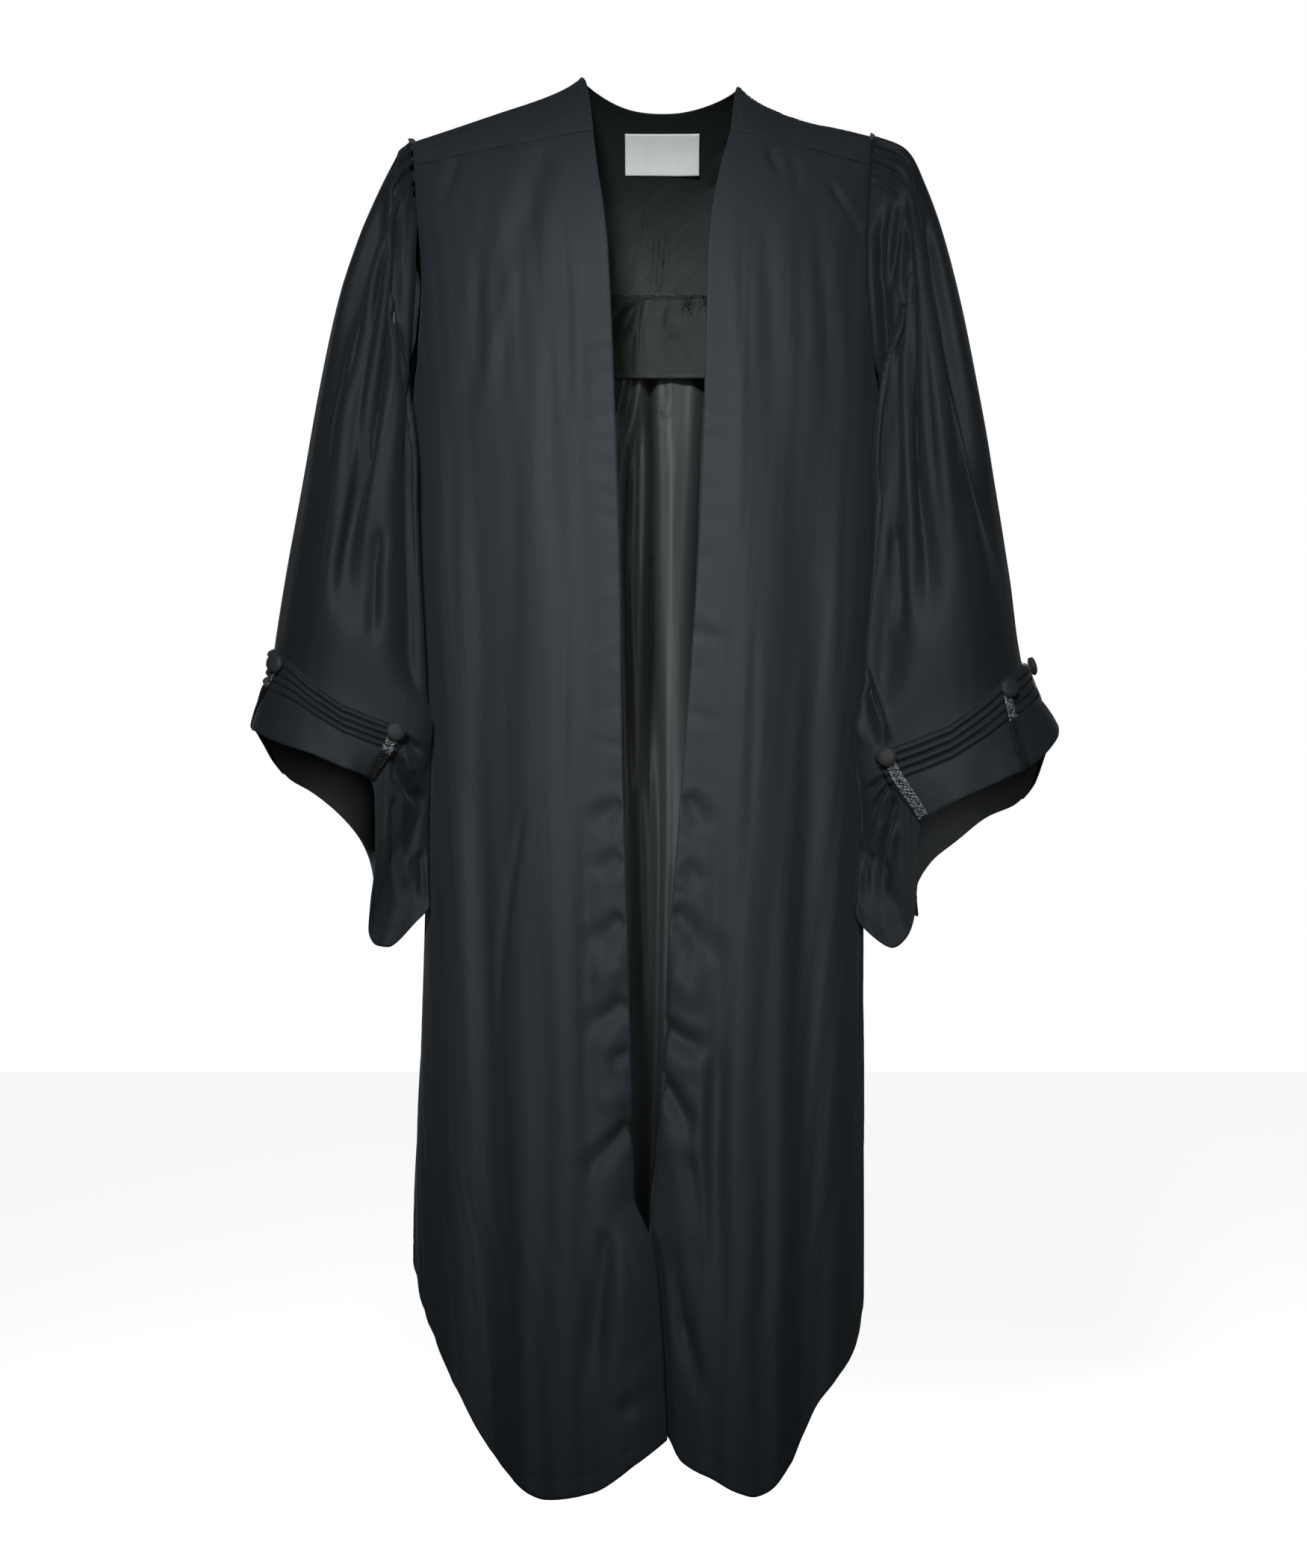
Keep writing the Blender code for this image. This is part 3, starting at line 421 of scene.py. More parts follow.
# Creases of the sleeves, and how much deeper they are than written
SLEEVE_RELIEF = 2.0
SLEEVE_RIPPLE_AROUND = 2.2
SLEEVE_RIPPLE_DOWN = 60
SLEEVE_CREASES = {
    "right": (
        (4, 9, -5.5, ((-226, -90), (-237, -115), (-250, -144), (-262, -180), (-268, -237), (-286, -310))),
        (3, 7, -5.0, ((-223, -98), (-231, -144), (-233, -191), (-238, -237), (-255, -330), (-277, -437),
                      (-292, -510))),
        (3, 6, -4.0, ((-205, -99), (-208, -150), (-213, -237), (-218, -330), (-214, -437), (-211, -515))),
        (6, 6, -3.0, ((-244, -400), (-250, -450), (-250, -515))),
        (5, 8, 2.2, ((-214, -110), (-219, -160), (-223, -237), (-232, -330), (-236, -420))),
        (1.6, 1.6, -1.6, ((-206, -74), (-213, -79), (-221, -82))),
        (1.6, 1.6, -1.6, ((-205, -81), (-212, -86), (-219, -90))),
        (1.6, 1.8, -1.6, ((-205, -88), (-212, -93), (-219, -99))),
        (1.8, 3.0, -1.6, ((-206, -95), (-213, -103), (-216, -118))),
        (3, 5, -3.0, ((-223, -588), (-214, -596), (-203, -606))),
        (5, 5, 4.0, ((-225, -600), (-220, -612), (-216, -626))),
        (3, 5, -4.5, ((-230, -604), (-229, -622), (-219, -635), (-200, -655))),
        (3, 4, -2.6, ((-231, -640), (-231, -684), (-232, -716), (-231, -738))),
        (5, 5, 2.4, ((-220, -690), (-220, -712), (-221, -728))),
        (4, 4, -2.2, ((-207, -690), (-206, -712), (-207, -738))),
    ),
    "left": (
        (4, 7, -4.5, ((209, -108), (202, -142), (203, -177), (207, -237), (205, -330), (194, -437),
                      (186, -515))),
        (3, 5, -3.0, ((220, -108), (218, -139), (212, -177), (208, -225))),
        (3, 7, -5.0, ((224, -101), (226, -150), (229, -184), (231, -237), (235, -330), (244, -437),
                      (246, -515))),
        (4, 9, -5.5, ((243, -120), (247, -150), (258, -203), (264, -237), (285, -330), (309, -437),
                      (316, -500))),
        (5, 6, -2.6, ((216, -400), (219, -450), (222, -510))),
        (5, 8, 2.2, ((232, -120), (238, -170), (246, -237), (258, -330), (268, -437))),
        (1.6, 2.2, -2.0, ((195, -62), (212, -67), (226, -74), (231, -84))),
        (1.4, 2.0, -1.4, ((194, -75), (210, -82), (223, -91))),
        (1.6, 2.0, -2.0, ((193, -83), (210, -90), (224, -100))),
        (1.6, 2.2, -2.0, ((195, -91), (209, -98), (222, -110))),
        (3, 5, -7.0, ((189, -530), (197, -562), (204, -588), (208, -606))),
        (5, 5, 3.0, ((181, -548), (185, -580), (190, -604))),
        (2, 4, -2.6, ((209, -622), (196, -632), (184, -644))),
        (2, 4, -3.0, ((211, -628), (199, -648), (192, -670))),
        (1.8, 3, -2.4, ((213, -632), (205, -655), (198, -676))),
        (3, 6, -5.5, ((215, -640), (208, -669), (202, -697), (204, -722), (218, -742))),
        (4, 6, 3.0, ((216, -668), (212, -694), (214, -716))),
        (3, 5, -2.6, ((194, -690), (190, -712), (192, -734))),
    ),
}

# Creases of the yoke's back as seen through the neck, and of the stay
YOKE_CREASES = (
    (1.2, 1.2, 1.2, ((-5, -86), (-6, -110), (-8, -159), (-11, -190))),
    (1.6, 2.2, 1.0, ((-15, -192), (-14, -165), (-11, -138))),
    (1.6, 2.2, 1.3, ((0, -192), (2, -165), (4, -122))),
    (1.6, 2.4, 1.2, ((8, -193), (10, -168), (13, -128))),
    (1.6, 2.2, -1.0, ((4, -193), (6, -168), (8, -134))),
    (1.8, 3.0, 1.1, ((-33, -190), (-34, -165), (-36, -140))),
    (1.8, 3.0, 1.2, ((-46, -190), (-47, -168), (-48, -146))),
    (2.2, 4.0, -1.1, ((-40, -190), (-41, -165), (-42, -142))),
    (4, 5, 1.8, ((66, -58), (60, -66), (50, -74))),
    (5, 6, -1.6, ((70, -74), (60, -82), (48, -86))),
    (4, 5, 1.4, ((62, -92), (54, -98), (44, -104))),
)
YOKE_HOLLOW = {"x": 52, "z": -78, "half_width": 24, "half_height": 36, "depth": 6.5}
YOKE_FRONT_CREASES = (
    (5, 7, -0.8, ((-92, -30), (-112, -40), (-136, -47))),
    (3, 4, -0.8, ((-200, -72), (-192, -66), (-182, -62))),
    (6, 8, -0.8, ((112, -28), (134, -36), (160, -42))),
    (3, 4, -0.7, ((184, -62), (174, -58), (164, -56))),
)
STAY_CREASES = (
    (1.4, 1.6, 1.8, ((-9, -190), (-14, -222), (-17, -272))),
    (4, 9, 5.0, ((-12, -192), (-22, -212), (-38, -238))),
    (3, 6, -1.5, ((-20, -194), (-30, -206), (-40, -216))),
    (9, 12, 1.4, ((8, -214), (22, -216), (40, -208))),
    (8, 10, -1.2, ((10, -232), (22, -246), (36, -258))),
    (1.8, 2.6, 1.4, ((27, -192), (29, -204), (28, -214))),
    (1.8, 2.6, 1.2, ((38, -192), (40, -202), (39, -212))),
)

# Folds inside the back: deep ones pressed to a point, then soft ones
BACK_FOLDS = (
    (3.2, 5.0, 21, ((-5, -192), (-4, -244), (-3, -300), (-1, -363), (-2, -420), (-3, -520), (-4, -700))),
    (5, 7, 13, ((49, -192), (47, -244), (44, -300), (40, -380), (36, -470), (31, -680))),
    (2.2, 3.0, 8, ((-27, -248), (-35, -290), (-46, -316), (-56, -340))),
    (2.2, 3.2, 8, ((-20, -330), (-24, -420), (-22, -520), (-19, -680))),
    (2.4, 3.4, 6, ((-34, -420), (-32, -520), (-26, -700))),
)
BACK_CREASES = (
    (3.5, 5, -5.0, ((-11, -252), (-13, -276), (-18, -307), (-29, -348), (-31, -385))),
    (3, 5, 6.0, ((-19, -254), (-21, -277), (-25, -300), (-33, -318))),
    (2.5, 3, 3.0, ((-9, -300), (-12, -350), (-13, -420), (-12, -500))),
    (2.5, 3.5, 3.0, ((-20, -350), (-20, -400), (-19, -480))),
    (2.6, 3.5, 1.6, ((10, -256), (10, -274), (11, -300))),
    (3.2, 4.0, 1.2, ((4, -298), (10, -305), (21, -302))),
    (7, 9, -3.0, ((22, -310), (17, -400), (14, -520), (12, -700))),
    (5, 7, 5.0, ((-14, -620), (-10, -760), (-8, -900))),
    (4, 6, 4.0, ((18, -700), (12, -820), (6, -900))),
)

# How deep a fold is where its painted shade reaches full black
DEEP_FOLD = 15

# Hems, facings and stitching: how far each line or row of stitches lies from its edge
HEM_DEPTH = 17
FACING_DEPTH = 38
SLEEVE_HEM_DEPTH = 15
STAY_HEM_DEPTH = 7
CUFF_HEM_DEPTH = 5
SEAM_ROW = 1.8
NECK_ROW = 3.4
FRONT_EDGE_ROW = 2.6
LABEL_ROW = 1.1
STITCH_PITCH = 3.2
STITCH_LENGTH = 2.5
STITCH_RADIUS = 0.24
STITCH_LIFT = 0.62
CUFF_STITCH_LIFT = 0.6
STAY_STITCH_LIFT = -0.58
LABEL_STITCH_LIFT = -0.4

THREAD_ENDS = 14
THREAD_END_X = (26, 50)
THREAD_CLEARANCE = 6.5

# How finely the cloth is sampled
FRONT_ACROSS = ((0, 0.03, 3), (0.03, 0.94, 66), (0.94, 1, 7))
FRONT_DOWN = ((0, 0.06, 8), (0.06, 1, 76), (1, 1.97, 236), (1.97, 2, 10))
BACK_ACROSS = ((0, 0.43, 88), (0.43, 0.58, 76), (0.58, 1, 88))
BACK_DOWN = ((0, 0.1, 8), (0.1, 0.5, 14), (0.5, 1.16, 52), (1.16, 1.97, 72), (1.97, 2, 8))
YOKE_OUT = ((0, 0.04, 5), (0.04, 0.97, 62), (0.97, 1, 5))
YOKE_FRONT = ((0, 0.06, 6), (0.06, 1, 26))
YOKE_TURN = ((0, 0.5, 34), (0.5, 1, 56))
YOKE_EDGE_POWER = 1.3
SLEEVE_AROUND = ((8, 92, 56), (92, 170, 94), (170, 215, 14), (215, 368, 48))
SLEEVE_DOWN = ((0, 0.06, 5), (0.06, 1.2, 30), (1.2, 7.6, 76), (7.6, 8.9, 58), (8.9, 9, 6))
CUFF_AROUND = 108
STAY_COLUMNS = 150
STAY_DOWN = ((0, 0.028, 1), (0.028, 0.058, 5), (0.058, 1, 38))
LABEL_SIZE = (60, 34)


def column(rows, names, name):
    """One named column of a table."""
    return np.array([row[names.index(name)] for row in rows], float)


def smooth(at, xs, ys):
    """Monotone cubic curve through the points, level past its ends."""
    order = np.argsort(xs)
    xs, ys = xs[order], ys[order]
    steps = np.diff(xs)
    slopes = np.diff(ys) / steps
    products = np.maximum(slopes[:-1] * slopes[1:], 0)
    sums = slopes[:-1] + slopes[1:]
    inner = 2 * products / np.where(products > 0, sums, 1)
    tangents = np.concatenate([[slopes[0]], inner, [slopes[-1]]])
    at = np.clip(at, xs[0], xs[-1])
    i = np.clip(np.searchsorted(xs, at) - 1, 0, len(xs) - 2)
    t = (at - xs[i]) / steps[i]
    rise = ys[i] * (1 + 2 * t) * (1 - t) ** 2 + ys[i + 1] * t**2 * (3 - 2 * t)
    return rise + steps[i] * (tangents[i] * t * (1 - t) ** 2 - tangents[i + 1] * t**2 * (1 - t))


def torso(name, z):
    return smooth(z, column(TORSO, TORSO_COLUMNS, "z"), column(TORSO, TORSO_COLUMNS, name))


def by_side(x, values):
    return np.where(np.asarray(x) < 0, values["right"], values["left"])


def half_width(x, z):
    return np.where(np.asarray(x) < 0, torso("right", z), torso("left", z))


def ridge(x):
    """Height of the shoulder ridge."""
    level = np.interp(x, [-NECK_X["right"], NECK_X["left"]], [NECK_Z["right"], NECK_Z["left"]])
    out = np.maximum(np.abs(x) - by_side(x, NECK_X), 0)
    stand = by_side(x, STAND_RISE) * (1 - np.exp(-out / by_side(x, STAND_RUN)))
    return level - by_side(x, SHOULDER_SLOPE) * out - stand


def eased_ridge(x, z):
    """The ridge as the cloth feels it from below, where its corners at the neck have eased away."""
    sharp = ridge(x)
    eased = sum(ridge(x + step) for step in RIDGE_STEPS) / len(RIDGE_STEPS)
    return sharp + (eased - sharp) * fade(sharp - z, 4, 60)


def roll(fall, height):
    return np.sqrt(1 - np.clip(1 - fall / height, 0, 1) ** 2)


def bulge(x, z):
    across = np.clip(np.abs(x) / half_width(x, z), 0, 1)
    return (1 - across**SQUARENESS) ** (1 / SQUARENESS)


def front_y(x, z):
    over = roll(eased_ridge(x, z) - z, FRONT_ROLL) ** FRONT_ROLL_POWER
    return -(SEAM / 2 + torso("front", z) * bulge(x, z) * over)


def back_y(x, z):
    return SEAM / 2 + torso("back", z) * bulge(x, z) * roll(eased_ridge(x, z) - z, BACK_ROLL)


def arc_table():
    """Angles round half of the torso's ring and the share of its length that each one has reached."""
    angles = np.linspace(-math.pi / 2, math.pi / 2, 721)
    x = np.sign(angles) * np.abs(np.sin(angles)) ** (2 / SQUARENESS)
    y = np.abs(np.cos(angles)) ** (2 / SQUARENESS) * torso("front", RING_Z) / torso("right", RING_Z)
    arc = np.concatenate([[0], np.cumsum(np.hypot(np.diff(x), np.diff(y)))])
    return angles, arc / arc[-1]


RING_ANGLES, RING_SHARES = arc_table()


def x_of(share, z):
    angle = np.interp(share, RING_SHARES, RING_ANGLES)
    return half_width(angle, z) * np.sign(angle) * np.abs(np.sin(angle)) ** (2 / SQUARENESS)


def share_of(x, z):
    across = np.clip(np.abs(x) / half_width(x, z), 0, 1)
    return np.interp(np.sign(x) * np.arcsin(across ** (SQUARENESS / 2)), RING_ANGLES, RING_SHARES)


def tip_z(side):
    return float(ridge(SIGN[side] * TIP_X[side]))


def armhole_x(side, z, face):
    share = np.clip((z - tip_z(side)) / (UNDERARM_Z - tip_z(side)), 0, 1)
    inset = smooth(share, column(ARMHOLE, ARMHOLE_COLUMNS, "share"), column(ARMHOLE, ARMHOLE_COLUMNS, face))
    return SIGN[side] * (torso(side, z) - inset)


def edge_x(side, z):
    return SIGN[side] * smooth(z, column(EDGE, EDGE_COLUMNS, "z"), column(EDGE, EDGE_COLUMNS, side))


def front_seam_z(side, x):
    out = np.abs(x) - abs(float(edge_x(side, FRONT_SEAM_Z[side])))
    return FRONT_SEAM_Z[side] - FRONT_SEAM_SLOPE[side] * out


def front_hem_z(side, x):
    own = SIGN[side] * x
    return smooth(own, column(HEM[side], HEM_COLUMNS, "x"), column(HEM[side], HEM_COLUMNS, "z"))


def fade(at, start, end):
    """0 at start, 1 at end, smooth between them."""
    t = np.clip((at - start) / (end - start), 0, 1)
    return t * t * (3 - 2 * t)


def levels(spans):
    """Joined runs of evenly spaced values, each given as start, end and number of steps."""
    joined = [np.linspace(start, end, steps + 1)[1:] for start, end, steps in spans]
    return np.concatenate([[spans[0][0]], *joined])


def normals_of(points, turn):
    """Outward normals of a grid; turn is 1 where columns and rows turn right-handed, and -1 elsewhere."""
    found = np.cross(np.gradient(points, axis=1), np.gradient(points, axis=0)) * turn
    return found / np.maximum(np.linalg.norm(found, axis=2, keepdims=True), 1e-9)


def arcs(points, axis):
    """Distance run along the grid's rows (axis 1) or columns (axis 0) up to each point."""
    steps = np.linalg.norm(np.diff(points, axis=axis), axis=2)
    pad = ((0, 0), (1, 0)) if axis == 1 else ((1, 0), (0, 0))
    return np.pad(np.cumsum(steps, axis=axis), pad)


def seen(points):
    """Where the points are seen from the front: millimetres across and up in the plane of the shoulders."""
    scale = CAMERA_BACK / (CAMERA_BACK + points[..., 1])
    return points[..., 0] * scale, CAMERA_Z + (points[..., 2] - CAMERA_Z) * scale


def crease(across, up, near, far, height, path, rise=0.12, power=2):
    """A fold along a path: full from near its start, fading towards its end, with a low lip on each side.

    Its power is 2 for a round fold and 1 for one pressed to a point.
    """
    path = np.array(path, float)
    length = np.concatenate([[0], np.cumsum(np.linalg.norm(np.diff(path, axis=0), axis=1))])
    places = np.linspace(0, 1, 14)
    line = np.stack([smooth(places, length / length[-1], path[:, i]) for i in (0, 1)], axis=1)
    amount = np.zeros(across.shape)
    reach = 3.2 * max(near, far)
    inside = (across > line[:, 0].min() - reach) & (across < line[:, 0].max() + reach)
    inside &= (up > line[:, 1].min() - reach) & (up < line[:, 1].max() + reach)
    if not inside.any():
        return amount
    at = np.stack([across[inside], up[inside]], axis=1)
    best = np.full(len(at), 1e9)
    share = np.zeros(len(at))
    for i in range(len(line) - 1):
        step = line[i + 1] - line[i]
        t = np.clip(((at - line[i]) @ step) / (step @ step), 0, 1)
        distance = np.linalg.norm(at - line[i] - t[:, None] * step, axis=1)
        closer = distance < best
        best = np.where(closer, distance, best)
        share = np.where(closer, (i + t) / (len(line) - 1), share)
    off = best / (near + (far - near) * share)
    shape = np.exp(-(off**power)) - 0.12 * np.exp(-(((off - 1.9) / 0.7) ** 2))
    amount[inside] = height * shape * fade(share, -0.02, rise) * fade(1 - share, 0, 0.45)
    return amount


def creases(points, rows, rise=0.12, power=2):
    across, up = seen(points)
    return sum(crease(across, up, **dict(zip(CREASE_COLUMNS, row)), rise=rise, power=power) for row in rows)


def ripples(u, v, seed, count, shortest, longest, height, wander=0.35):
    """Low soft folds that run mostly down the cloth, no two alike."""
    chance = np.random.default_rng(seed)
    total = np.zeros(np.broadcast(u, v).shape)
    for _ in range(count):
        wave = chance.uniform(shortest, longest)
        phase, drift, slow = chance.uniform(0, 2 * math.pi, 3)
        sway = wander * wave * np.sin(v / chance.uniform(130, 260) + drift)
        strength = 0.55 + 0.45 * np.sin(v / chance.uniform(150, 330) + u / chance.uniform(90, 200) + slow)
        total += strength * np.sin(2 * math.pi * (u + sway) / wave + phase)
    return total * height / math.sqrt(count)


def seam_dip(distance):
    """How far the cloth dips towards a seam at this distance from it."""
    return -SEAM_DIP * np.exp(-((distance / SEAM_DIP_RUN) ** 2))


def groove(distance, at, half, depth):
    """A pressed line at a distance from an edge, such as the top of a hem."""
    return -depth * np.exp(-(((distance - at) / half) ** 2))


def tucked(points, turn):
    """The grid with two more rows that turn in at its top seam and pass under the cloth beyond it."""
    edge = points[0]
    beyond = edge - points[2]
    beyond /= np.linalg.norm(beyond, axis=1, keepdims=True)
    normals = normals_of(points, turn)[1]
    lip = edge + beyond * 0.3 - normals * TUCK_UNDER_DROP * 0.7
    under = edge + beyond * TUCK_UNDER - normals * TUCK_UNDER_DROP
    return np.concatenate([under[None], lip[None], points])


def front_base(side, across, down):
    """One front: columns from side seam or armhole to the front edge, rows from yoke to hem."""
    across, down = across[None, :], down[:, None]

    def place(z):
        outer = share_of(armhole_x(side, z, "front"), z)
        inner = share_of(edge_x(side, z), z)
        return x_of(outer + (inner - outer) * across, z)

    top = front_seam_z(side, place(np.full_like(across, FRONT_SEAM_Z[side]))) - SEAM / 2
    hem = front_hem_z(side, place(np.full_like(across, BACK_HEM_MIDDLE_Z)))
    upper = top + (UNDERARM_Z - top) * np.clip(down, 0, 1)
    z = upper + (hem - UNDERARM_Z) * np.clip(down - 1, 0, 1)
    x = place(z)
    y = front_y(x, z)
    lower = fade(z, *EDGE_RECESS_FADE_Z)
    top_edge = edge_x("right", z)
    edge = top_edge if side == "right" else np.maximum(edge_x("left", z), top_edge)
    from_edge = np.clip(1 - np.maximum(SIGN[side] * (x - edge), 0) / EDGE_RECESS_RUN, 0, 1)
    y = y + EDGE_RECESS * lower * from_edge**2
    if side == "left":
        y = y + UNDERLAP * fade(z, *UNDERLAP_FADE_Z) * fade(from_edge, 0, 0.5)
        past_edge = edge_x("right", z) + LAP_DROP_RUN - x
        y = y + LAP_DROP * fade(z, *LAP_DROP_FADE_Z) * fade(past_edge, 0, LAP_DROP_RUN)
    for row in FRONT_FOLDS[side]:
        fold = dict(zip(FRONT_FOLD_COLUMNS, row))
        share = (z - fold["z_top"]) / (fold["z_bottom"] - fold["z_top"])
        middle = fold["x_top"] + (fold["x_bottom"] - fold["x_top"]) * share
        shape = np.exp(-(((SIGN[side] * x - middle) / fold["half_width"]) ** 2))
        y = y - fold["height"] * shape * fade(share, 0, 0.3) * bulge(x, z)
    return np.stack([x, y, z], axis=2)


def puckers(side, from_edge, z):
    """Short creases that run in from the front edge, where its sewn facing is a little tight."""
    chance = np.random.default_rng(11 if side == "right" else 12)
    total = np.zeros(z.shape)
    place = PUCKER_TOP
    while place > PUCKER_END:
        height = PUCKER_HEIGHT * chance.uniform(0.35, 1.15) * (1 if chance.random() < 0.5 else -1)
        half = chance.uniform(3.0, 7.5)
        reach = PUCKER_REACH * chance.uniform(0.55, 1.35)
        slant = chance.uniform(-0.35, 0.55)
        middle = place - slant * from_edge
        total += height * np.exp(-(((z - middle) / half) ** 2)) * fade(-from_edge, -reach, -0.35 * reach)
        place -= PUCKER_STEP * chance.uniform(0.5, 1.5)
    return total * fade(-z, 150, 260) * (0.75 + 0.4 * fade(-z, 350, 700))


def front_cloth(side):
    base = front_base(side, levels(FRONT_ACROSS), levels(FRONT_DOWN))
    turn = SIGN[side]
    u, v = arcs(base, 1), arcs(base, 0)
    from_edge, from_hem, z = u[:, -1:] - u, v[-1:] - v, base[..., 2]
    amount = FRONT_RELIEF * creases(base, FRONT_CREASES[side]) + creases(base, FRONT_FALLS[side], rise=0.4)
    amount += puckers(side, from_edge, z)
    inner = fade(from_edge, 2, 30)
    amount += ripples(from_edge, -z, 21 + turn, 8, 18, 60, 0.8) * fade(-z, 70, 180) * inner
    amount += ripples(from_edge, -z, 25 + turn, 6, 8, 19, 0.16) * fade(-z, 70, 180) * inner
    amount += 0.5 * seam_dip(v) + groove(from_edge, FACING_DEPTH, 3, 0.3) * fade(-z, 100, 200)
    amount += groove(from_hem, HEM_DEPTH, 1.6, 0.5)
    amount -= 0.3 * np.exp(-from_edge / 1.2) + 0.4 * np.exp(-from_hem / 1.2)
    gather = np.sin(u / 5.2 + 2 * np.sin(u / 31)) * np.exp(-v / 14) * (0.4 + 0.6 * np.sin(u / 23) ** 2)
    amount += 0.35 * gather
    if side == "left":
        turned = np.exp(-((from_edge / TURNED_EDGE_RUN) ** 2)) * fade(-z, 760, 850) * fade(z, -1010, -960)
        amount -= TURNED_EDGE * turned
    under_lap = fade(z, *UNDERLAP_FADE_Z) * fade(-from_edge, -46, -26)
    amount *= 1 - 0.75 * under_lap
    made = base + normals_of(base, turn) * amount[..., None]
    sewn = fade(-z[:, 0], -UNDERARM_Z, 30 - UNDERARM_Z)
    made[:, 0, 0] -= turn * SIDE_TUCK_IN * sewn
    made[:, 0, 1] += SIDE_TUCK_BACK * sewn
    return made, turn


def back_cloth():
    share = levels(BACK_ACROSS)[None, :]
    down = levels(BACK_DOWN)[:, None]
    side_hem = HEM["right"][-1][1] + (HEM["left"][-1][1] - HEM["right"][-1][1]) * share
    hem = side_hem + (BACK_HEM_MIDDLE_Z - side_hem) * np.sin(math.pi * share)
    top = BACK_SEAM_Z - SEAM / 2
    upper = top + (UNDERARM_Z - top) * np.clip(down, 0, 1)
    z = upper + (hem - UNDERARM_Z) * np.clip(down - 1, 0, 1)
    first = share_of(armhole_x("right", z, "back"), z)
    last = share_of(armhole_x("left", z, "back"), z)
    crowded = first * (1 - share) ** CROWDING - (1 - last) * share**CROWDING
    over = share + crowded
    x = x_of(over, z)
    base = np.stack([x, back_y(x, z), z], axis=2)
    size = PLEAT_TOP + (PLEAT_HEM - PLEAT_TOP) * fade(z, BACK_SEAM_Z, PLEAT_FULL_Z)
    low = fade(-z, 240, 620)
    drift = 0.45 * np.sin(over * 15 + z / 240) + 0.30 * np.sin(over * 37 - z / 170 + 1)
    phase = 2 * math.pi * (PLEATS * over + PLEAT_PHASE + 0.22 * drift * low)
    phase = phase + PLEAT_SKEW * np.cos(phase)
    sides = fade(share, 0, PLEAT_FADE) * fade(1 - share, 0, PLEAT_FADE)
    sizes = np.interp(over * PLEATS, np.arange(PLEATS + 1), PLEAT_SIZES)
    uneven = 1 + (sizes - 1) * low + 0.12 * np.sin(share * 31 + z / 190) * low
    pleats = size * (np.cos(phase) + PLEAT_POINT * np.cos(2 * phase)) * sides * uneven
    second = 1.5 * np.sin(2.3 * phase + 2.2 * np.sin(share * 19) + z / 260) * low * (0.4 + 0.6 * sides)
    u, v = arcs(base, 1), arcs(base, 0)
    edges = np.minimum(u, u[:, -1:] - u)
    fine = np.sin(x / 1.55 + 1.7 * np.sin(x / 13)) * (0.55 + 0.45 * np.sin(x / 37 + 0.8)) * np.exp(-v / 46)
    middle = np.sin(x / 3.9 + 1.4 * np.sin(x / 29) + 0.004 * v) * np.exp(-v / 210)
    amount = second - pleats + (1.15 * fine + 0.8 * middle) * fade(edges, 0, 25)
    amount += ripples(x, -z, 31, 6, 30, 90, 0.7) * fade(v, 0, 120) * fade(edges, 0, 30)
    amount += creases(base, BACK_CREASES) + creases(base, BACK_FOLDS, power=1)
    amount *= SEAM_FLATNESS + (1 - SEAM_FLATNESS) * fade(v, 0, SEAM_FLAT_RUN)
    amount += seam_dip(v) + groove(v[-1:] - v, HEM_DEPTH, 1.6, 0.5)
    return base + normals_of(base, 1) * amount[..., None], 1


def yoke_half(side):
    """Rows from neck to outer edge, columns from the front seam over the shoulder to the middle back."""
    sign = SIGN[side]
    out = levels(YOKE_OUT)[:, None] ** YOKE_EDGE_POWER
    over = levels(YOKE_FRONT)[None, :]
    seam_edge = abs(float(edge_x(side, FRONT_SEAM_Z[side])))
    neck = sign * (seam_edge + (NECK_X[side] - seam_edge) * over)
    x = neck + (sign * TIP_X[side] - neck) * out
    for _ in range(2):
        fall = (ridge(x) - front_seam_z(side, x) - SEAM / 2) * (1 - over) ** 2
        outer = armhole_x(side, (ridge(x) - fall)[-1:], "front")
        x = neck + (outer - neck) * out
    z = ridge(x) - fall
    front = np.stack([x, front_y(x, z), z], axis=2)

    turn = levels(YOKE_TURN)[None, :]
    neck_x = sign * NECK_X[side] * np.cos(turn * math.pi / 2)
    neck_fall = BACK_NECK_FALL * np.sin(turn * math.pi / 2) ** 2
    corner_z = BACK_SEAM_Z + SEAM / 2
    edge_z = tip_z(side) + (corner_z - tip_z(side)) * np.clip(turn * 2, 0, 1)
    corner_x = armhole_x(side, np.array(corner_z), "back")
    edge = np.where(turn < 0.5, armhole_x(side, edge_z, "back"), corner_x * np.clip(2 - turn * 2, 0, 1))
    x = neck_x + (edge - neck_x) * out
    fall = neck_fall + (ridge(edge) - edge_z - neck_fall) * out
    z = ridge(x) - fall
    back = np.stack([x, back_y(x, z), z], axis=2)
    front[:, -1, 1] = 0
    return np.concatenate([front, back[:, 1:]], axis=1)


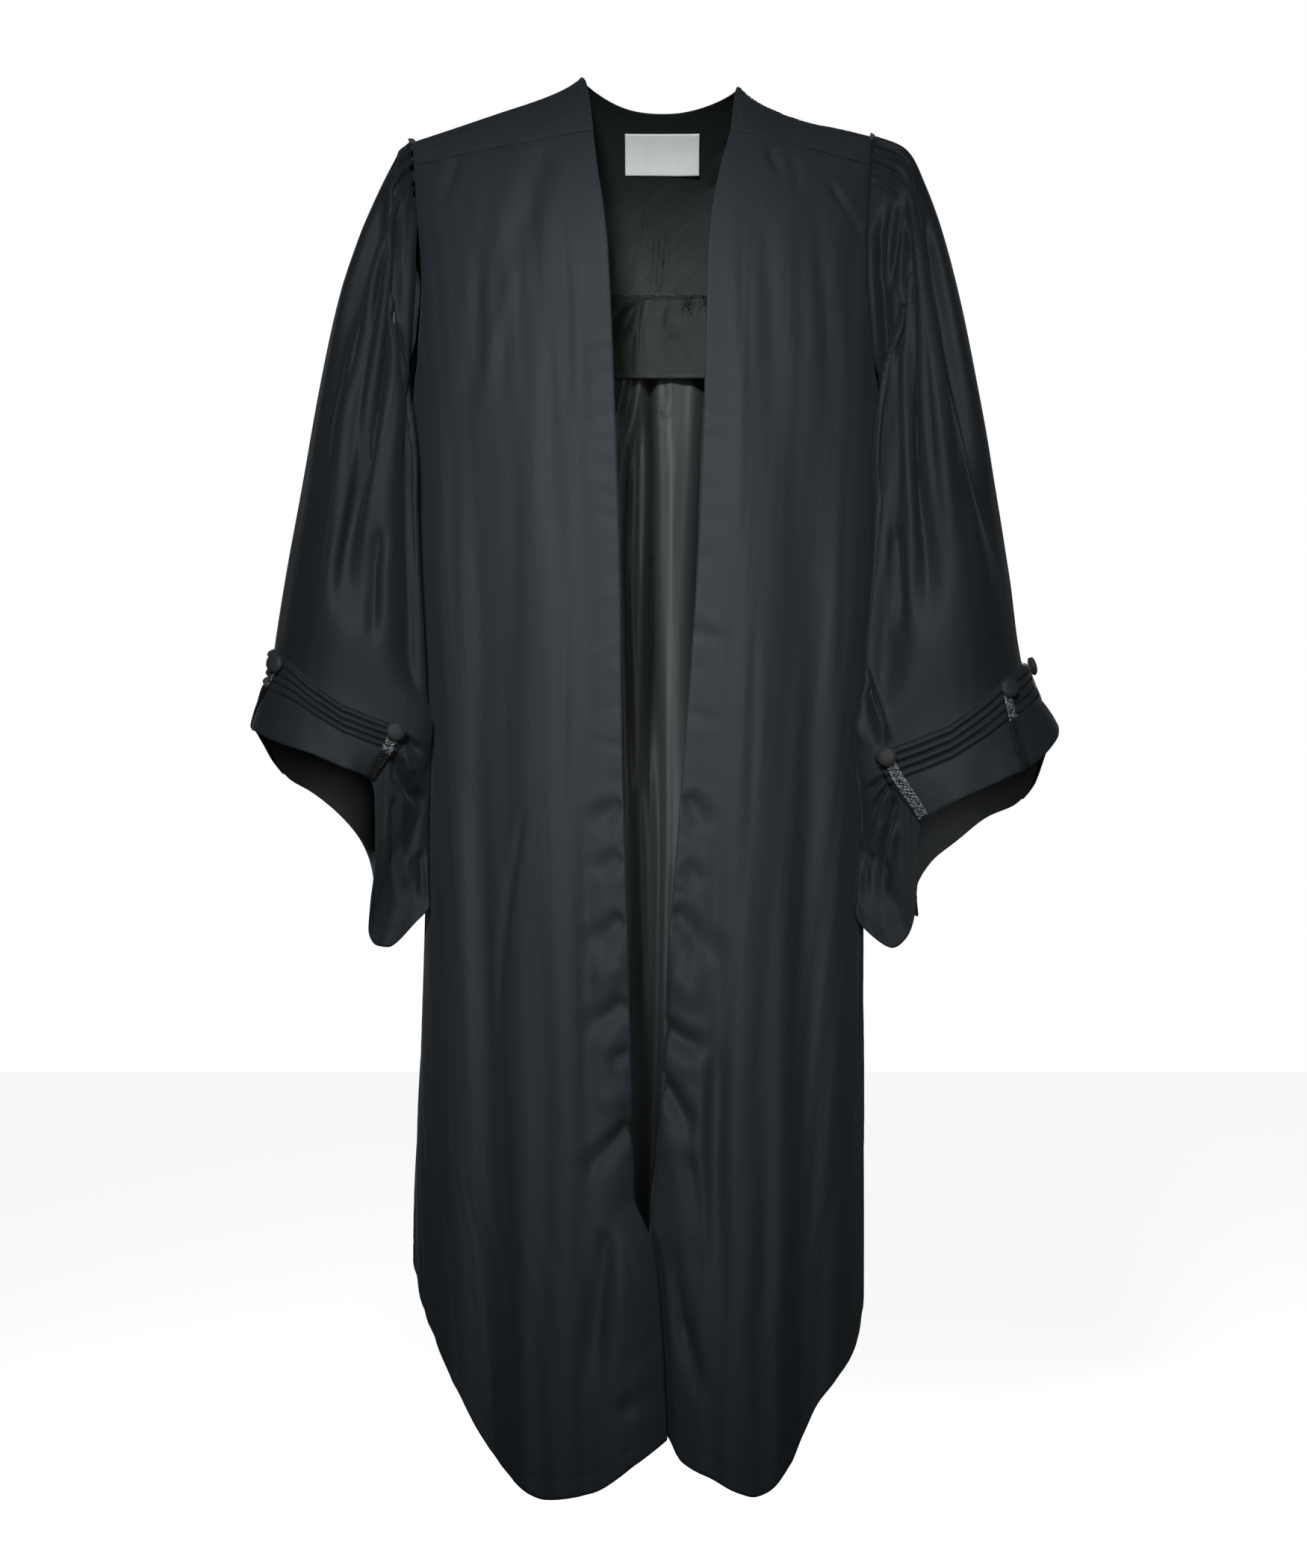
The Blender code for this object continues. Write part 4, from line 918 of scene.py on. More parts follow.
def yoke_cloth():
    right, left = yoke_half("right"), yoke_half("left")
    base = np.concatenate([right, left[:, -2::-1]], axis=1)
    v, u = arcs(base, 0), arcs(base, 1)
    x, y, z = base[..., 0], base[..., 1], base[..., 2]
    from_outer, from_neck = v[-1:] - v, v
    from_front = np.minimum(u, u[:, -1:] - u)
    behind = fade(y, 0, 20)
    amount = YOKE_RELIEF * behind * creases(base, YOKE_CREASES)
    amount += (1 - behind) * creases(base, YOKE_FRONT_CREASES)
    across = (x - YOKE_HOLLOW["x"]) / YOKE_HOLLOW["half_width"]
    up = (z - YOKE_HOLLOW["z"]) / YOKE_HOLLOW["half_height"]
    amount += behind * YOKE_HOLLOW["depth"] * np.exp(-(across**2) - up**2)
    fine = np.sin(x / 2.1 + 1.6 * np.sin(x / 17)) * (0.5 + 0.5 * np.sin(x / 41) ** 2)
    to_seam = np.clip(z - BACK_SEAM_Z, 0, 200)
    amount += behind * 0.55 * fine * np.exp(-to_seam / 13) * fade(-np.abs(x), -190, -150)
    amount += ripples(x + 0.3 * y, z + y, 41, 6, 35, 110, 0.45) * fade(from_outer, 0, 30)
    amount += seam_dip(from_outer) + 0.4 * seam_dip(from_front) + groove(from_neck, 5, 1.0, 0.4)
    amount -= 0.35 * np.exp(-from_neck / 1.0)
    return base + normals_of(base, 1) * amount[..., None], 1


def stay_cloth():
    x = np.linspace(-STAY_HALF_WIDTH, STAY_HALF_WIDTH, STAY_COLUMNS)[None, :]
    down = levels(STAY_DOWN)[:, None]
    top = BACK_SEAM_Z + STAY_TURNED_IN
    z = top + (STAY_BOTTOM_Z - top) * down + 0 * x
    inside = STAY_TOP_CLEARANCE + (STAY_BOTTOM_CLEARANCE - STAY_TOP_CLEARANCE) * down
    inside = inside - (STAY_TOP_CLEARANCE - STAY_AT_SEAM) * fade(z, BACK_SEAM_Z - STAY_DROP, STAY_JOIN_Z)
    base = np.stack([x + 0 * z, back_y(x, z) - inside, z], axis=2)
    v = arcs(base, 0)
    across = base[..., 0]
    amount = STAY_RELIEF * creases(base, STAY_CREASES) * fade(v, *STAY_SMOOTH_TOP)
    amount += 0.7 * np.sin(across / 2.6 + 1.5 * np.sin(across / 19)) * np.exp(-v / 9)
    amount += 0.9 * np.sin(across / 21 + 0.6) * down + groove(v[-1:] - v, STAY_HEM_DEPTH, 0.9, 0.35)
    return base + normals_of(base, 1) * amount[..., None], 1


def label_cloth():
    across = np.linspace(-0.5, 0.5, LABEL_SIZE[0])[None, :]
    down = np.linspace(0, 1, LABEL_SIZE[1])[:, None]
    x = LABEL_MIDDLE_X + LABEL_WIDTH * across + 0 * down
    z = LABEL_TOP_Z - LABEL_HEIGHT * down - 0.6 * across
    base = np.stack([x, back_y(x, z), z], axis=2)
    from_rim = np.minimum(0.5 - np.abs(across), np.minimum(down, 1 - down))
    lift = LABEL_INSIDE - 0.35 * np.exp(-from_rim * 40) + 0.15 * np.sin(across * 9) * down
    return base - normals_of(base, 1) * lift[..., None], 1


def armhole_ring(side, angles):
    turned = angles - ARMHOLE_CROWD * np.sin(angles)
    z = tip_z(side) + (UNDERARM_Z - tip_z(side)) * (1 - np.cos(turned)) / 2
    front = np.sin(turned) >= 0
    x = np.where(front, armhole_x(side, z, "front"), armhole_x(side, z, "back"))
    y = np.where(front, front_y(x, z), back_y(x, z))
    return np.stack([x + SIGN[side] * SLEEVE_SEAM, y, z], axis=1)


def station_ring(side, row, angles):
    section = dict(zip(STATION_COLUMNS, row))
    turned = angles - section["crowd"] * np.sin(angles)
    to_outer, to_front = np.cos(turned), np.sin(turned)
    middle_x, half_x = (section["out_x"] + section["in_x"]) / 2, (section["out_x"] - section["in_x"]) / 2
    middle_z, half_z = (section["out_z"] + section["in_z"]) / 2, (section["out_z"] - section["in_z"]) / 2
    lean = section["lean"] * np.exp(-(((np.degrees(angles) % 360 - LEAN_ANGLE) / LEAN_SPREAD) ** 2))
    power = np.where((to_outer < 0) & (to_front > 0), INNER_FRONT_POWER, 1)
    x = middle_x + half_x * np.sign(to_outer) * np.abs(to_outer) ** power - lean
    depth = np.where(to_front > 0, section["front"], section["back"])
    y = -np.sign(to_front) * np.abs(to_front) ** power * depth
    return np.stack([SIGN[side] * x, y, middle_z + half_z * to_outer], axis=1)


def rim_ring(side, angles):
    rows = RIM[side]
    known = column(rows, RIM_COLUMNS, "angle")
    around = np.concatenate([known[-3:] - 360, known, known[:3] + 360])
    degrees = np.degrees(angles) % 360
    read = []
    for name in RIM_COLUMNS[1:]:
        values = column(rows, RIM_COLUMNS, name)
        read.append(smooth(degrees, around, np.concatenate([values[-3:], values, values[:3]])))
    return np.stack([SIGN[side] * read[0], read[1], read[2]], axis=1)


def sleeve_base(side, angles, at):
    """Sleeve surface with no folds: 0 is the armhole, 1 to 8 the sections, 9 the opening."""
    rings = [armhole_ring(side, angles)]
    rings += [station_ring(side, row, angles) for row in STATIONS[side]]
    rings = np.array([*rings, rim_ring(side, angles)])
    at = np.asarray(at, float)
    last = len(rings) - 1
    i = np.clip(np.floor(at).astype(int), 0, last - 1)
    t = (at - i)[:, None, None]
    before, after = np.maximum(i - 1, 0), np.minimum(i + 2, last)
    start = (rings[i + 1] - rings[before]) / (i + 1 - before)[:, None, None]
    end = (rings[after] - rings[i]) / (after - i)[:, None, None]
    rise = rings[i] * (1 + 2 * t) * (1 - t) ** 2 + rings[i + 1] * t**2 * (3 - 2 * t)
    return rise + start * t * (1 - t) ** 2 - end * t**2 * (1 - t)


def sleeve_folds(side, angles, at):
    degrees = np.degrees(angles)[None, :] % 360
    at = np.asarray(at, float)[:, None]
    amount = np.zeros((at.shape[0], degrees.shape[1]))
    for row in TROUGHS[side]:
        trough = dict(zip(TROUGH_COLUMNS, row))
        shape = np.exp(-(((degrees - trough["angle"]) / trough["half_width"]) ** 2))
        length = fade(at, trough["start"], trough["start"] + 2) * fade(-at, -trough["end"], 1 - trough["end"])
        amount -= trough["depth"] * shape * length
    beside = fade(at, 6.4, 7.8) * fade(-at, -8.9, -8.2)
    amount += BESIDE_BODY[side] * np.exp(-(((degrees - 166) / 13) ** 2)) * beside
    turn = (degrees - GATHER_FIRST) / GATHER_STEP
    ends = fade(turn, -0.5, 0.5) * fade(-turn, 0.5 - GATHERS, -0.5 - GATHERS + 2)
    return amount + GATHER_HEIGHT * np.cos(2 * math.pi * turn) * ends * fade(-at, -GATHER_END, -0.2)


def clear_of_body(side, points, at):
    """The sleeve moved outwards to hang beside the body."""
    x, y, z = SIGN[side] * points[..., 0], points[..., 1], points[..., 2]
    depth = np.where(y < 0, torso("front", z), torso("back", z))
    beside = torso(side, z) * (1 - np.clip(np.abs(y) / depth, 0, 1) ** SQUARENESS) ** (1 / SQUARENESS)
    more = (BODY_CLEARANCE["back"] - BODY_CLEARANCE["front"]) * fade(y, 0, BODY_CLEARANCE_RUN)
    clearance = BODY_CLEARANCE["front"] + more
    need = np.where(np.abs(y) < depth, np.maximum(beside + clearance - x, 0), 0)
    moved = points.copy()
    moved[..., 0] = SIGN[side] * (x + need * fade(at, *BODY_CLEARANCE_LEVELS)[:, None])
    return moved


def sleeve_points(side, angles, at, lift=0.0):
    """The folded sleeve at these angles and levels, lifted off along its normals."""
    wide = with_ends(angles)
    at = np.asarray(at, float)
    surface = sleeve_base(side, wide, at)
    across = np.gradient(surface, axis=1)
    along = surface - sleeve_base(side, wide, at - SMALL_LEVEL)
    normals = np.cross(across, along) * SIGN[side]
    normals /= np.linalg.norm(normals, axis=2, keepdims=True)
    amount = sleeve_folds(side, wide, at)
    folded = clear_of_body(side, surface + normals * amount[..., None], at)
    return (folded + normals * np.broadcast_to(lift, folded.shape[:2])[..., None])[:, 1:-1]


def with_ends(angles):
    return np.concatenate([[angles[0] - SMALL_ANGLE], angles, [angles[-1] + SMALL_ANGLE]])


def sleeve_cloth(side):
    angles = np.radians(levels(SLEEVE_AROUND))
    at = levels(SLEEVE_DOWN)
    base = sleeve_points(side, angles, at)
    base[:, -1] = base[:, 0]
    closed = np.concatenate([base[:, -2:-1], base, base[:, 1:2]], axis=1)
    normals = normals_of(closed, SIGN[side])[:, 1:-1]
    degrees = (np.degrees(angles)[None, :] % 360) + 0 * at[:, None]
    level = at[:, None] + 0 * degrees
    v = arcs(base, 0)
    from_hem = v[-1:] - v
    facing = fade(-normals[..., 1], -0.05, 0.3) * fade(-degrees, -200, -180)
    in_front = fade(degrees, -8, 0) * fade(-degrees, -CUFF_END, 6 - CUFF_END)
    outside = fade(degrees, 360 + CUFF_START - 6, 360 + CUFF_START)
    cuffed = fade(level, *UNDER_CUFF_LEVELS) * np.maximum(in_front, outside)
    amount = SLEEVE_RELIEF * facing * creases(base, SLEEVE_CREASES[side])
    chance = np.random.default_rng(51 if side == "right" else 52)
    for _ in range(16):
        start, centre = chance.uniform(0.1, 4.5), chance.uniform(185, 372)
        end = start + chance.uniform(2.5, 5.0)
        drift, half = chance.uniform(-9, 9), chance.uniform(3.0, 6.5)
        share = (level - start) / (end - start)
        middle = centre + drift * share + 2.5 * np.sin(level * 1.7 + centre)
        off = (degrees - middle + 180) % 360 - 180
        along = fade(share, 0, 0.25) * fade(1 - share, 0, 0.4)
        amount += chance.uniform(-3.4, 1.6) * np.exp(-((off / half) ** 2)) * along
    behind = fade(degrees, 190, 215)
    fine = np.sin(degrees / 2.3 + 1.4 * np.sin(degrees / 17)) * np.exp(-level / 0.9)
    amount += 1.1 * fine * behind * fade(-degrees, -362, -350)
    hidden = 1 - 0.7 * facing
    around, down = degrees * SLEEVE_RIPPLE_AROUND, level * SLEEVE_RIPPLE_DOWN
    amount += ripples(around, down, 61 + SIGN[side], 6, 26, 80, 0.8) * hidden * fade(level, 0.3, 1.5)
    amount += ripples(around, down, 63 + SIGN[side], 5, 12, 26, 0.35) * hidden * fade(level, 0.6, 2)
    amount *= 1 - cuffed
    amount += seam_dip(v) * 0.8 + groove(from_hem, SLEEVE_HEM_DEPTH, 1.3, 0.6) * (1 - cuffed)
    made = base + normals * amount[..., None]
    made[:, -1] = made[:, 0]
    return made, SIGN[side]


def cuff_profile():
    """Levels down the cuff, how far out each one lies, and its tuck: rolled tucks first, then the band."""
    depth = (CUFF_TUCKS_END - CUFF_TOP) / TUCKS
    down, out = (column(TUCK, TUCK_COLUMNS, name) for name in TUCK_COLUMNS)
    rolled = np.concatenate([CUFF_TOP + (number + down) * depth for number in range(TUCKS)])
    band = np.linspace(CUFF_TUCKS_END + 0.012, BAND_END, BAND_ROWS)
    turned = [9, 9, BAND_END]
    at = np.concatenate([rolled, band, turned])
    lift = np.tile(TUCK_LOW + (TUCK_HIGH - TUCK_LOW) * out, TUCKS)
    lift = np.concatenate([lift, np.full(BAND_ROWS, BAND_LIFT), BAND_LIFT - np.array([0.3, 1.0, 1.5])])
    tuck = np.repeat(np.arange(TUCKS + 1), [len(TUCK)] * TUCKS + [BAND_ROWS + len(turned)])
    return at, lift, tuck


def band_flare(angles, at):
    around = np.degrees(with_ends(angles))
    first, full, falling, last = BAND_FLARE_ANGLES
    sides = fade(around, first, full) * fade(-around, -last, -falling)
    return BAND_FLARE * fade(np.asarray(at), *BAND_FLARE_LEVELS)[:, None] * sides


def cuff_cloth(side):
    angles = np.radians(np.linspace(CUFF_START, CUFF_END, CUFF_AROUND + 1))
    at, lift, tuck = cuff_profile()
    wide = np.degrees(with_ends(angles))[None, :]
    level, number = at[:, None], tuck[:, None]
    uneven = 0.9 * np.sin(wide / 9 + 2.1 * number) + 0.6 * np.sin(wide / 4.3 + 1.3 * number + 0.5)
    lifts = lift[:, None] + band_flare(angles, at)
    on_tucks = (number < TUCKS).astype(float)
    lifts = lifts + on_tucks * uneven * 0.5 * (lift[:, None] - TUCK_LOW) / (TUCK_HIGH - TUCK_LOW)
    band = fade(level, *BAND_LEVELS)
    lifts = lifts + (1 - on_tucks) * band * (0.5 * np.sin(wide / 14 + 1.0) + 0.3 * np.sin(wide / 6.1))
    pinched = np.exp(-(((wide - PINCH_ANGLE[side] - PINCH_STEP * number) / PINCH_HALF) ** 2))
    lifts = lifts - PINCH_DEPTH * on_tucks * pinched
    sway = 0.010 * np.sin(wide[0] / 11) + 0.006 * np.sin(wide[0] / 5 + 1)
    made = sleeve_points(side, angles, at, lifts)
    down = np.gradient(made, axis=0)
    down /= np.maximum(np.linalg.norm(down, axis=2, keepdims=True), 1e-9)
    mean_down = made[-8:-4].mean(axis=0) - made[:8].mean(axis=0)
    mean_down /= np.linalg.norm(mean_down, axis=1, keepdims=True)
    moved = made + mean_down[None] * (sway[1:-1][None, :, None] * 90) * on_tucks[..., None]
    return moved, SIGN[side]


def braid_surface(side, top, bottom, columns=9, rows=44):
    """The strip that a braid lies on, as a grid down the cuff from under its button."""
    at = np.linspace(BUTTON_LEVEL, BRAID_END, rows)
    strip = []
    for level, degrees in zip(at, np.linspace(top, bottom, rows)):
        angle = math.radians(degrees)
        near = sleeve_points(side, np.array([angle - SMALL_ANGLE, angle, angle + SMALL_ANGLE]), [level])
        spread = BRAID_WIDTH * SMALL_ANGLE / np.linalg.norm(near[0, 2] - near[0, 0])
        across = np.linspace(angle - spread, angle + spread, columns)
        lift = BRAID_LIFT + (BRAID_LIFT_BELOW - BRAID_LIFT) * fade(level, *BAND_LEVELS)
        strip.append(sleeve_points(side, across, [level], lift + band_flare(across, [level])))
    return np.concatenate(strip)


def on_grid(points, turn, u, v):
    """Places and normals on a grid at shares across (u) and down (v) of it."""
    normals = normals_of(points, turn)
    rows, columns = points.shape[:2]
    row, col = np.clip(v, 0, 1) * (rows - 1), np.clip(u, 0, 1) * (columns - 1)
    i = np.minimum(row.astype(int), rows - 2)
    j = np.minimum(col.astype(int), columns - 2)
    s, t = (row - i)[..., None], (col - j)[..., None]

    def read(grid):
        upper = grid[i, j] * (1 - t) + grid[i, j + 1] * t
        lower = grid[i + 1, j] * (1 - t) + grid[i + 1, j + 1] * t
        return upper * (1 - s) + lower * s

    facing = read(normals)
    return read(points), facing / np.linalg.norm(facing, axis=-1, keepdims=True)


class Recipe:
    """The nodes of one material."""

    def __init__(self, name):
        self.material = bpy.data.materials.new(name)
        self.material.use_nodes = True
        self.tree = self.material.node_tree
        self.tree.nodes.clear()

    def node(self, kind, settings=(), inputs=(), output=0):
        """One node: its settings are set first, then the values or links of its sockets."""
        made = self.tree.nodes.new(kind)
        for name, value in dict(settings).items():
            if name == "stops":
                for stop, (place, colour) in zip(made.color_ramp.elements, value):
                    stop.position, stop.color = place, colour
            else:
                setattr(made, name, value)
        for name, value in dict(inputs).items():
            if isinstance(value, Mark):
                self.tree.links.new(value.socket, made.inputs[name])
            else:
                made.inputs[name].default_value = value
        return Mark(self, made.outputs[output]) if len(made.outputs) else made

    def maths(self, operation, *values):
        return self.node("ShaderNodeMath", {"operation": operation}, dict(enumerate(values)))

    def mix(self, share, first, second):
        """A colour between two others."""
        return self.node("ShaderNodeMix", {"data_type": "RGBA"}, {0: share, 6: first, 7: second}, 2)

    def scaled(self, vector, by):
        return self.node("ShaderNodeVectorMath", {"operation": "MULTIPLY"}, {0: vector, 1: by})

    def noise(self, vector, scale, detail=3.0, roughness=0.5):
        inputs = {"Vector": vector, "Scale": scale, "Detail": detail, "Roughness": roughness}
        return self.node("ShaderNodeTexNoise", {}, inputs)

    def bump(self, height, distance, strength=1.0, normal=None):
        inputs = {"Height": height, "Distance": distance, "Strength": strength}
        if normal is not None:
            inputs["Normal"] = normal
        return self.node("ShaderNodeBump", {}, inputs)

    def finish(self, **inputs):
        shader = self.node("ShaderNodeBsdfPrincipled", {}, inputs)
        self.node("ShaderNodeOutputMaterial", {}, {"Surface": shader})
        return self.material


class Mark:
    """A shader value that is worked with as a number."""

    def __init__(self, recipe, socket):
        self.recipe, self.socket = recipe, socket

    def __add__(self, other):
        return self.recipe.maths("ADD", self, other)

    __radd__ = __add__

    def __sub__(self, other):
        return self.recipe.maths("SUBTRACT", self, other)

    def __rsub__(self, other):
        return self.recipe.maths("SUBTRACT", other, self)

    def __mul__(self, other):
        return self.recipe.maths("MULTIPLY", self, other)

    __rmul__ = __mul__


def grey(value, tint=(1, 1, 1)):
    return (value * tint[0], value * tint[1], value * tint[2], 1)


def satin(name, dark, light, tint, roughness, gloss, painted_fold_shade):
    """Black satin: fine warp threads, faint streaks down the cloth, soft rubbing along the edges, and, where
    asked, painted shade that blackens the deepest folds.
    """
    recipe = Recipe(name)
    uv = recipe.node("ShaderNodeUVMap", {"uv_map": "cloth"})
    streak = recipe.noise(recipe.scaled(uv, (260, 5, 1)), 1.0, 3.0, 0.6)
    slub = recipe.noise(recipe.scaled(uv, (900, 46, 1)), 1.0, 2.0, 0.6)
    patch = recipe.noise(recipe.scaled(uv, (9, 4, 1)), 1.0, 3.0, 0.55)
    threads = recipe.noise(recipe.scaled(uv, (2400, 420, 1)), 1.0, 2.0, 0.5)
    weft = recipe.node(
        "ShaderNodeTexWave", {"bands_direction": "Y"}, {"Vector": uv, "Scale": 380.0, "Distortion": 0.4}, 1
    )
    worn = recipe.node("ShaderNodeAttribute", {"attribute_name": "worn"}, {}, 2)
    tone = recipe.maths("MULTIPLY_ADD", streak, 0.5, 0.5 * patch) + 0.12 * (slub - 0.5) + 0.3 * worn
    colour = recipe.mix(tone, grey(dark, tint), grey(light, tint))
    # Painted shade: the colour runs to near black where a point lies deep in a fold
    if painted_fold_shade:
        deep = recipe.node("ShaderNodeAttribute", {"attribute_name": "deep"}, {}, 2)
        colour = recipe.mix(painted_fold_shade * deep, colour, grey(PAINTED_SHADE_BLACK))
    rough = roughness + 0.16 * (streak - 0.5) + 0.10 * (patch - 0.5) + 0.08 * (slub - 0.5) - 0.05 * worn
    wrinkle = recipe.noise(recipe.scaled(uv, (34, 9, 1)), 1.0, 4.0, 0.55)
    soft = recipe.bump(wrinkle, 0.0016, 0.5)
    ribbed = recipe.bump(streak, 0.00045, 0.5, soft)
    normal = recipe.bump(0.7 * threads + 0.3 * weft, 0.00012, 0.5, ribbed)
    return recipe.finish(**{
        "Base Color": colour, "Roughness": rough, "Normal": normal, "Specular IOR Level": gloss,
        "Sheen Weight": 0.04, "Sheen Roughness": 0.4,
    })


def silk_braid(name, dark, light, roughness, gloss, metal):
    recipe = Recipe(name)
    uv = recipe.node("ShaderNodeUVMap", {"uv_map": "cloth"})
    strand = recipe.noise(recipe.scaled(uv, (1500, 300, 1)), 1.0, 2.0, 0.5)
    # Patches of light grey on the black: painted glints, which also make those patches rougher
    painted_glint = recipe.noise(recipe.scaled(uv, (420, 420, 1)), 1.0, 3.0, 0.7)
    painted_glint = recipe.maths("SMOOTH_MIN", recipe.maths("MAXIMUM", 4.2 * painted_glint - 1.75, 0.0), 1.0, 0.1)
    colour = recipe.mix(painted_glint, grey(dark, (1, 1, 1.04)), grey(light, (1, 1, 1.03)))
    rough = roughness + 0.14 * painted_glint
    normal = recipe.bump(strand, 0.00012, 0.6)
    return recipe.finish(**{
        "Base Color": colour, "Roughness": rough, "Normal": normal, "Specular IOR Level": gloss,
        "Metallic": metal,
    })


def covered_button(name):
    recipe = Recipe(name)
    uv = recipe.node("ShaderNodeUVMap", {"uv_map": "cloth"})
    threads = recipe.node(
        "ShaderNodeTexWave", {"bands_direction": "X"}, {"Vector": uv, "Scale": 560.0, "Distortion": 0.6}, 1
    )
    crossing = recipe.node(
        "ShaderNodeTexWave", {"bands_direction": "Y"}, {"Vector": uv, "Scale": 560.0, "Distortion": 0.6}, 1
    )
    patch = recipe.noise(recipe.scaled(uv, (120, 120, 1)), 1.0, 3.0, 0.5)
    colour = recipe.mix(patch, grey(0.014, (0.95, 1, 1.1)), grey(0.026, (0.95, 1, 1.1)))
    normal = recipe.bump(0.5 * threads + 0.5 * crossing, 0.00016, 0.6)
    rough = 0.42 + 0.14 * patch
    return recipe.finish(**{
        "Base Color": colour, "Roughness": rough, "Normal": normal, "Specular IOR Level": 0.22,
        "Sheen Weight": 0.05,
    })


def white_label(name):
    recipe = Recipe(name)
    uv = recipe.node("ShaderNodeUVMap", {"uv_map": "cloth"})
    ribs = recipe.node(
        "ShaderNodeTexWave", {"bands_direction": "Y"}, {"Vector": uv, "Scale": 330.0, "Distortion": 0.3}, 1
    )
    threads = recipe.noise(recipe.scaled(uv, (1800, 500, 1)), 1.0, 2.0, 0.5)
    patch = recipe.noise(recipe.scaled(uv, (40, 40, 1)), 1.0, 3.0, 0.5)
    colour = recipe.mix(0.6 * patch + 0.4 * threads, grey(0.80, (1, 1, 0.985)), grey(0.90, (1, 1, 0.99)))
    normal = recipe.bump(0.6 * ribs + 0.4 * threads, 0.00018, 0.6)
    return recipe.finish(**{"Base Color": colour, "Roughness": 0.6 + 0.2 * patch, "Normal": normal})


def sewing_thread(name, dark, light, roughness):
    recipe = Recipe(name)
    place = recipe.node("ShaderNodeNewGeometry", {}, {}, 0)
    twist = recipe.noise(place, 1400.0, 2.0, 0.5)
    colour = recipe.mix(twist, grey(dark), grey(light))
    return recipe.finish(**{
        "Base Color": colour, "Roughness": roughness + 0.1 * twist, "Normal": recipe.bump(twist, 0.0001, 0.4),
    })


def make(name, places, faces, materials, uv=None, worn=None):
    """A mesh piece of the gown, from places in millimetres."""
    mesh = bpy.data.meshes.new(name)
    mesh.from_pydata((np.asarray(places) * MM).tolist(), [], np.asarray(faces).tolist())
    for finish in materials:
        mesh.materials.append(finish)
    mesh.shade_smooth()
    corners = np.array([loop.vertex_index for loop in mesh.loops])
    layer = mesh.uv_layers.new(name="cloth")
    flat = np.asarray(places)[:, [0, 2]] if uv is None else np.asarray(uv)
    layer.data.foreach_set("uv", (flat[corners] * MM).astype(np.float32).ravel())
    if worn is not None:
        mesh.attributes.new("worn", "FLOAT", "POINT").data.foreach_set("value", worn.astype(np.float32))
    piece = bpy.data.objects.new(name, mesh)
    bpy.context.scene.collection.objects.link(piece)
    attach(piece, "root")
    return piece


def grid_faces(rows, columns, turn):
    first = (np.arange(rows - 1)[:, None] * columns + np.arange(columns - 1)[None, :]).ravel()
    faces = np.stack([first, first + columns, first + columns + 1, first + 1], axis=1)
    return faces[:, ::-1] if turn > 0 else faces


def panel(name, points, turn, materials, slot, wall, tube=False, edges=("top", "bottom"), straight=0):
    """A sheet of cloth with its wall: its outer face in the first material, its inner one in the second."""
    rows, columns = points.shape[:2]
    u, v = arcs(points, 1), arcs(points, 0)
    distances = {"top": v, "bottom": v[-1:] - v, "first": u, "last": u[:, -1:] - u}
    worn = np.zeros((rows, columns))
    for edge in edges:
        worn = np.maximum(worn, np.exp(-distances[edge] / WORN_RUN))
    faces = grid_faces(rows, columns, turn)
    uv = np.stack([u - u[:, straight][:, None], -v], axis=2).reshape(-1, 2)
    places = points.reshape(-1, 3)
    if tube:
        seam = np.where(faces % columns == columns - 1, faces - (columns - 1), faces)
        piece = make(name, places, seam, materials, uv, worn.ravel())
        layer = piece.data.uv_layers["cloth"].data
        flat = uv[faces.ravel()] * MM
        layer.foreach_set("uv", flat.astype(np.float32).ravel())
    else:
        piece = make(name, places, faces, materials, uv, worn.ravel())
    shell = piece.modifiers.new("wall", "SOLIDIFY")
    shell.thickness = wall * MM
    shell.offset = 0
    shell.material_offset = 1 if len(materials) > 1 else 0
    shell.use_even_offset = False
    return piece


def mark_painted_fold_shade(piece, rows):
    """Marks on each point how deep it lies in the pointed folds, as the mask of the painted shade that
    blackens them.
    """
    places = np.array([vertex.co for vertex in piece.data.vertices]) / MM
    deep = np.clip(creases(places, rows, power=1) / DEEP_FOLD, 0, 1)
    marks = piece.data.attributes.new("deep", "FLOAT", "POINT")
    marks.data.foreach_set("value", deep.astype(np.float32))


def in_from(edge, grid):
    """The grid turned so that its first row lies on the named edge."""
    if edge in ("first", "last"):
        grid = grid.transpose(1, 0, 2)
    return grid[::-1] if edge in ("bottom", "last") else grid


def inset_line(points, turn, edge, distance):
    """A line that runs along an edge of the grid, a distance inside it, and the normals under it."""
    grid, normals = in_from(edge, points), in_from(edge, normals_of(points, turn))
    run = arcs(grid, 0)
    line, facing = [], []
    for j in range(grid.shape[1]):
        line.append([np.interp(distance, run[:, j], grid[:, j, k]) for k in range(3)])
        facing.append([np.interp(distance, run[:, j], normals[:, j, k]) for k in range(3)])
    return np.array(line), np.array(facing)


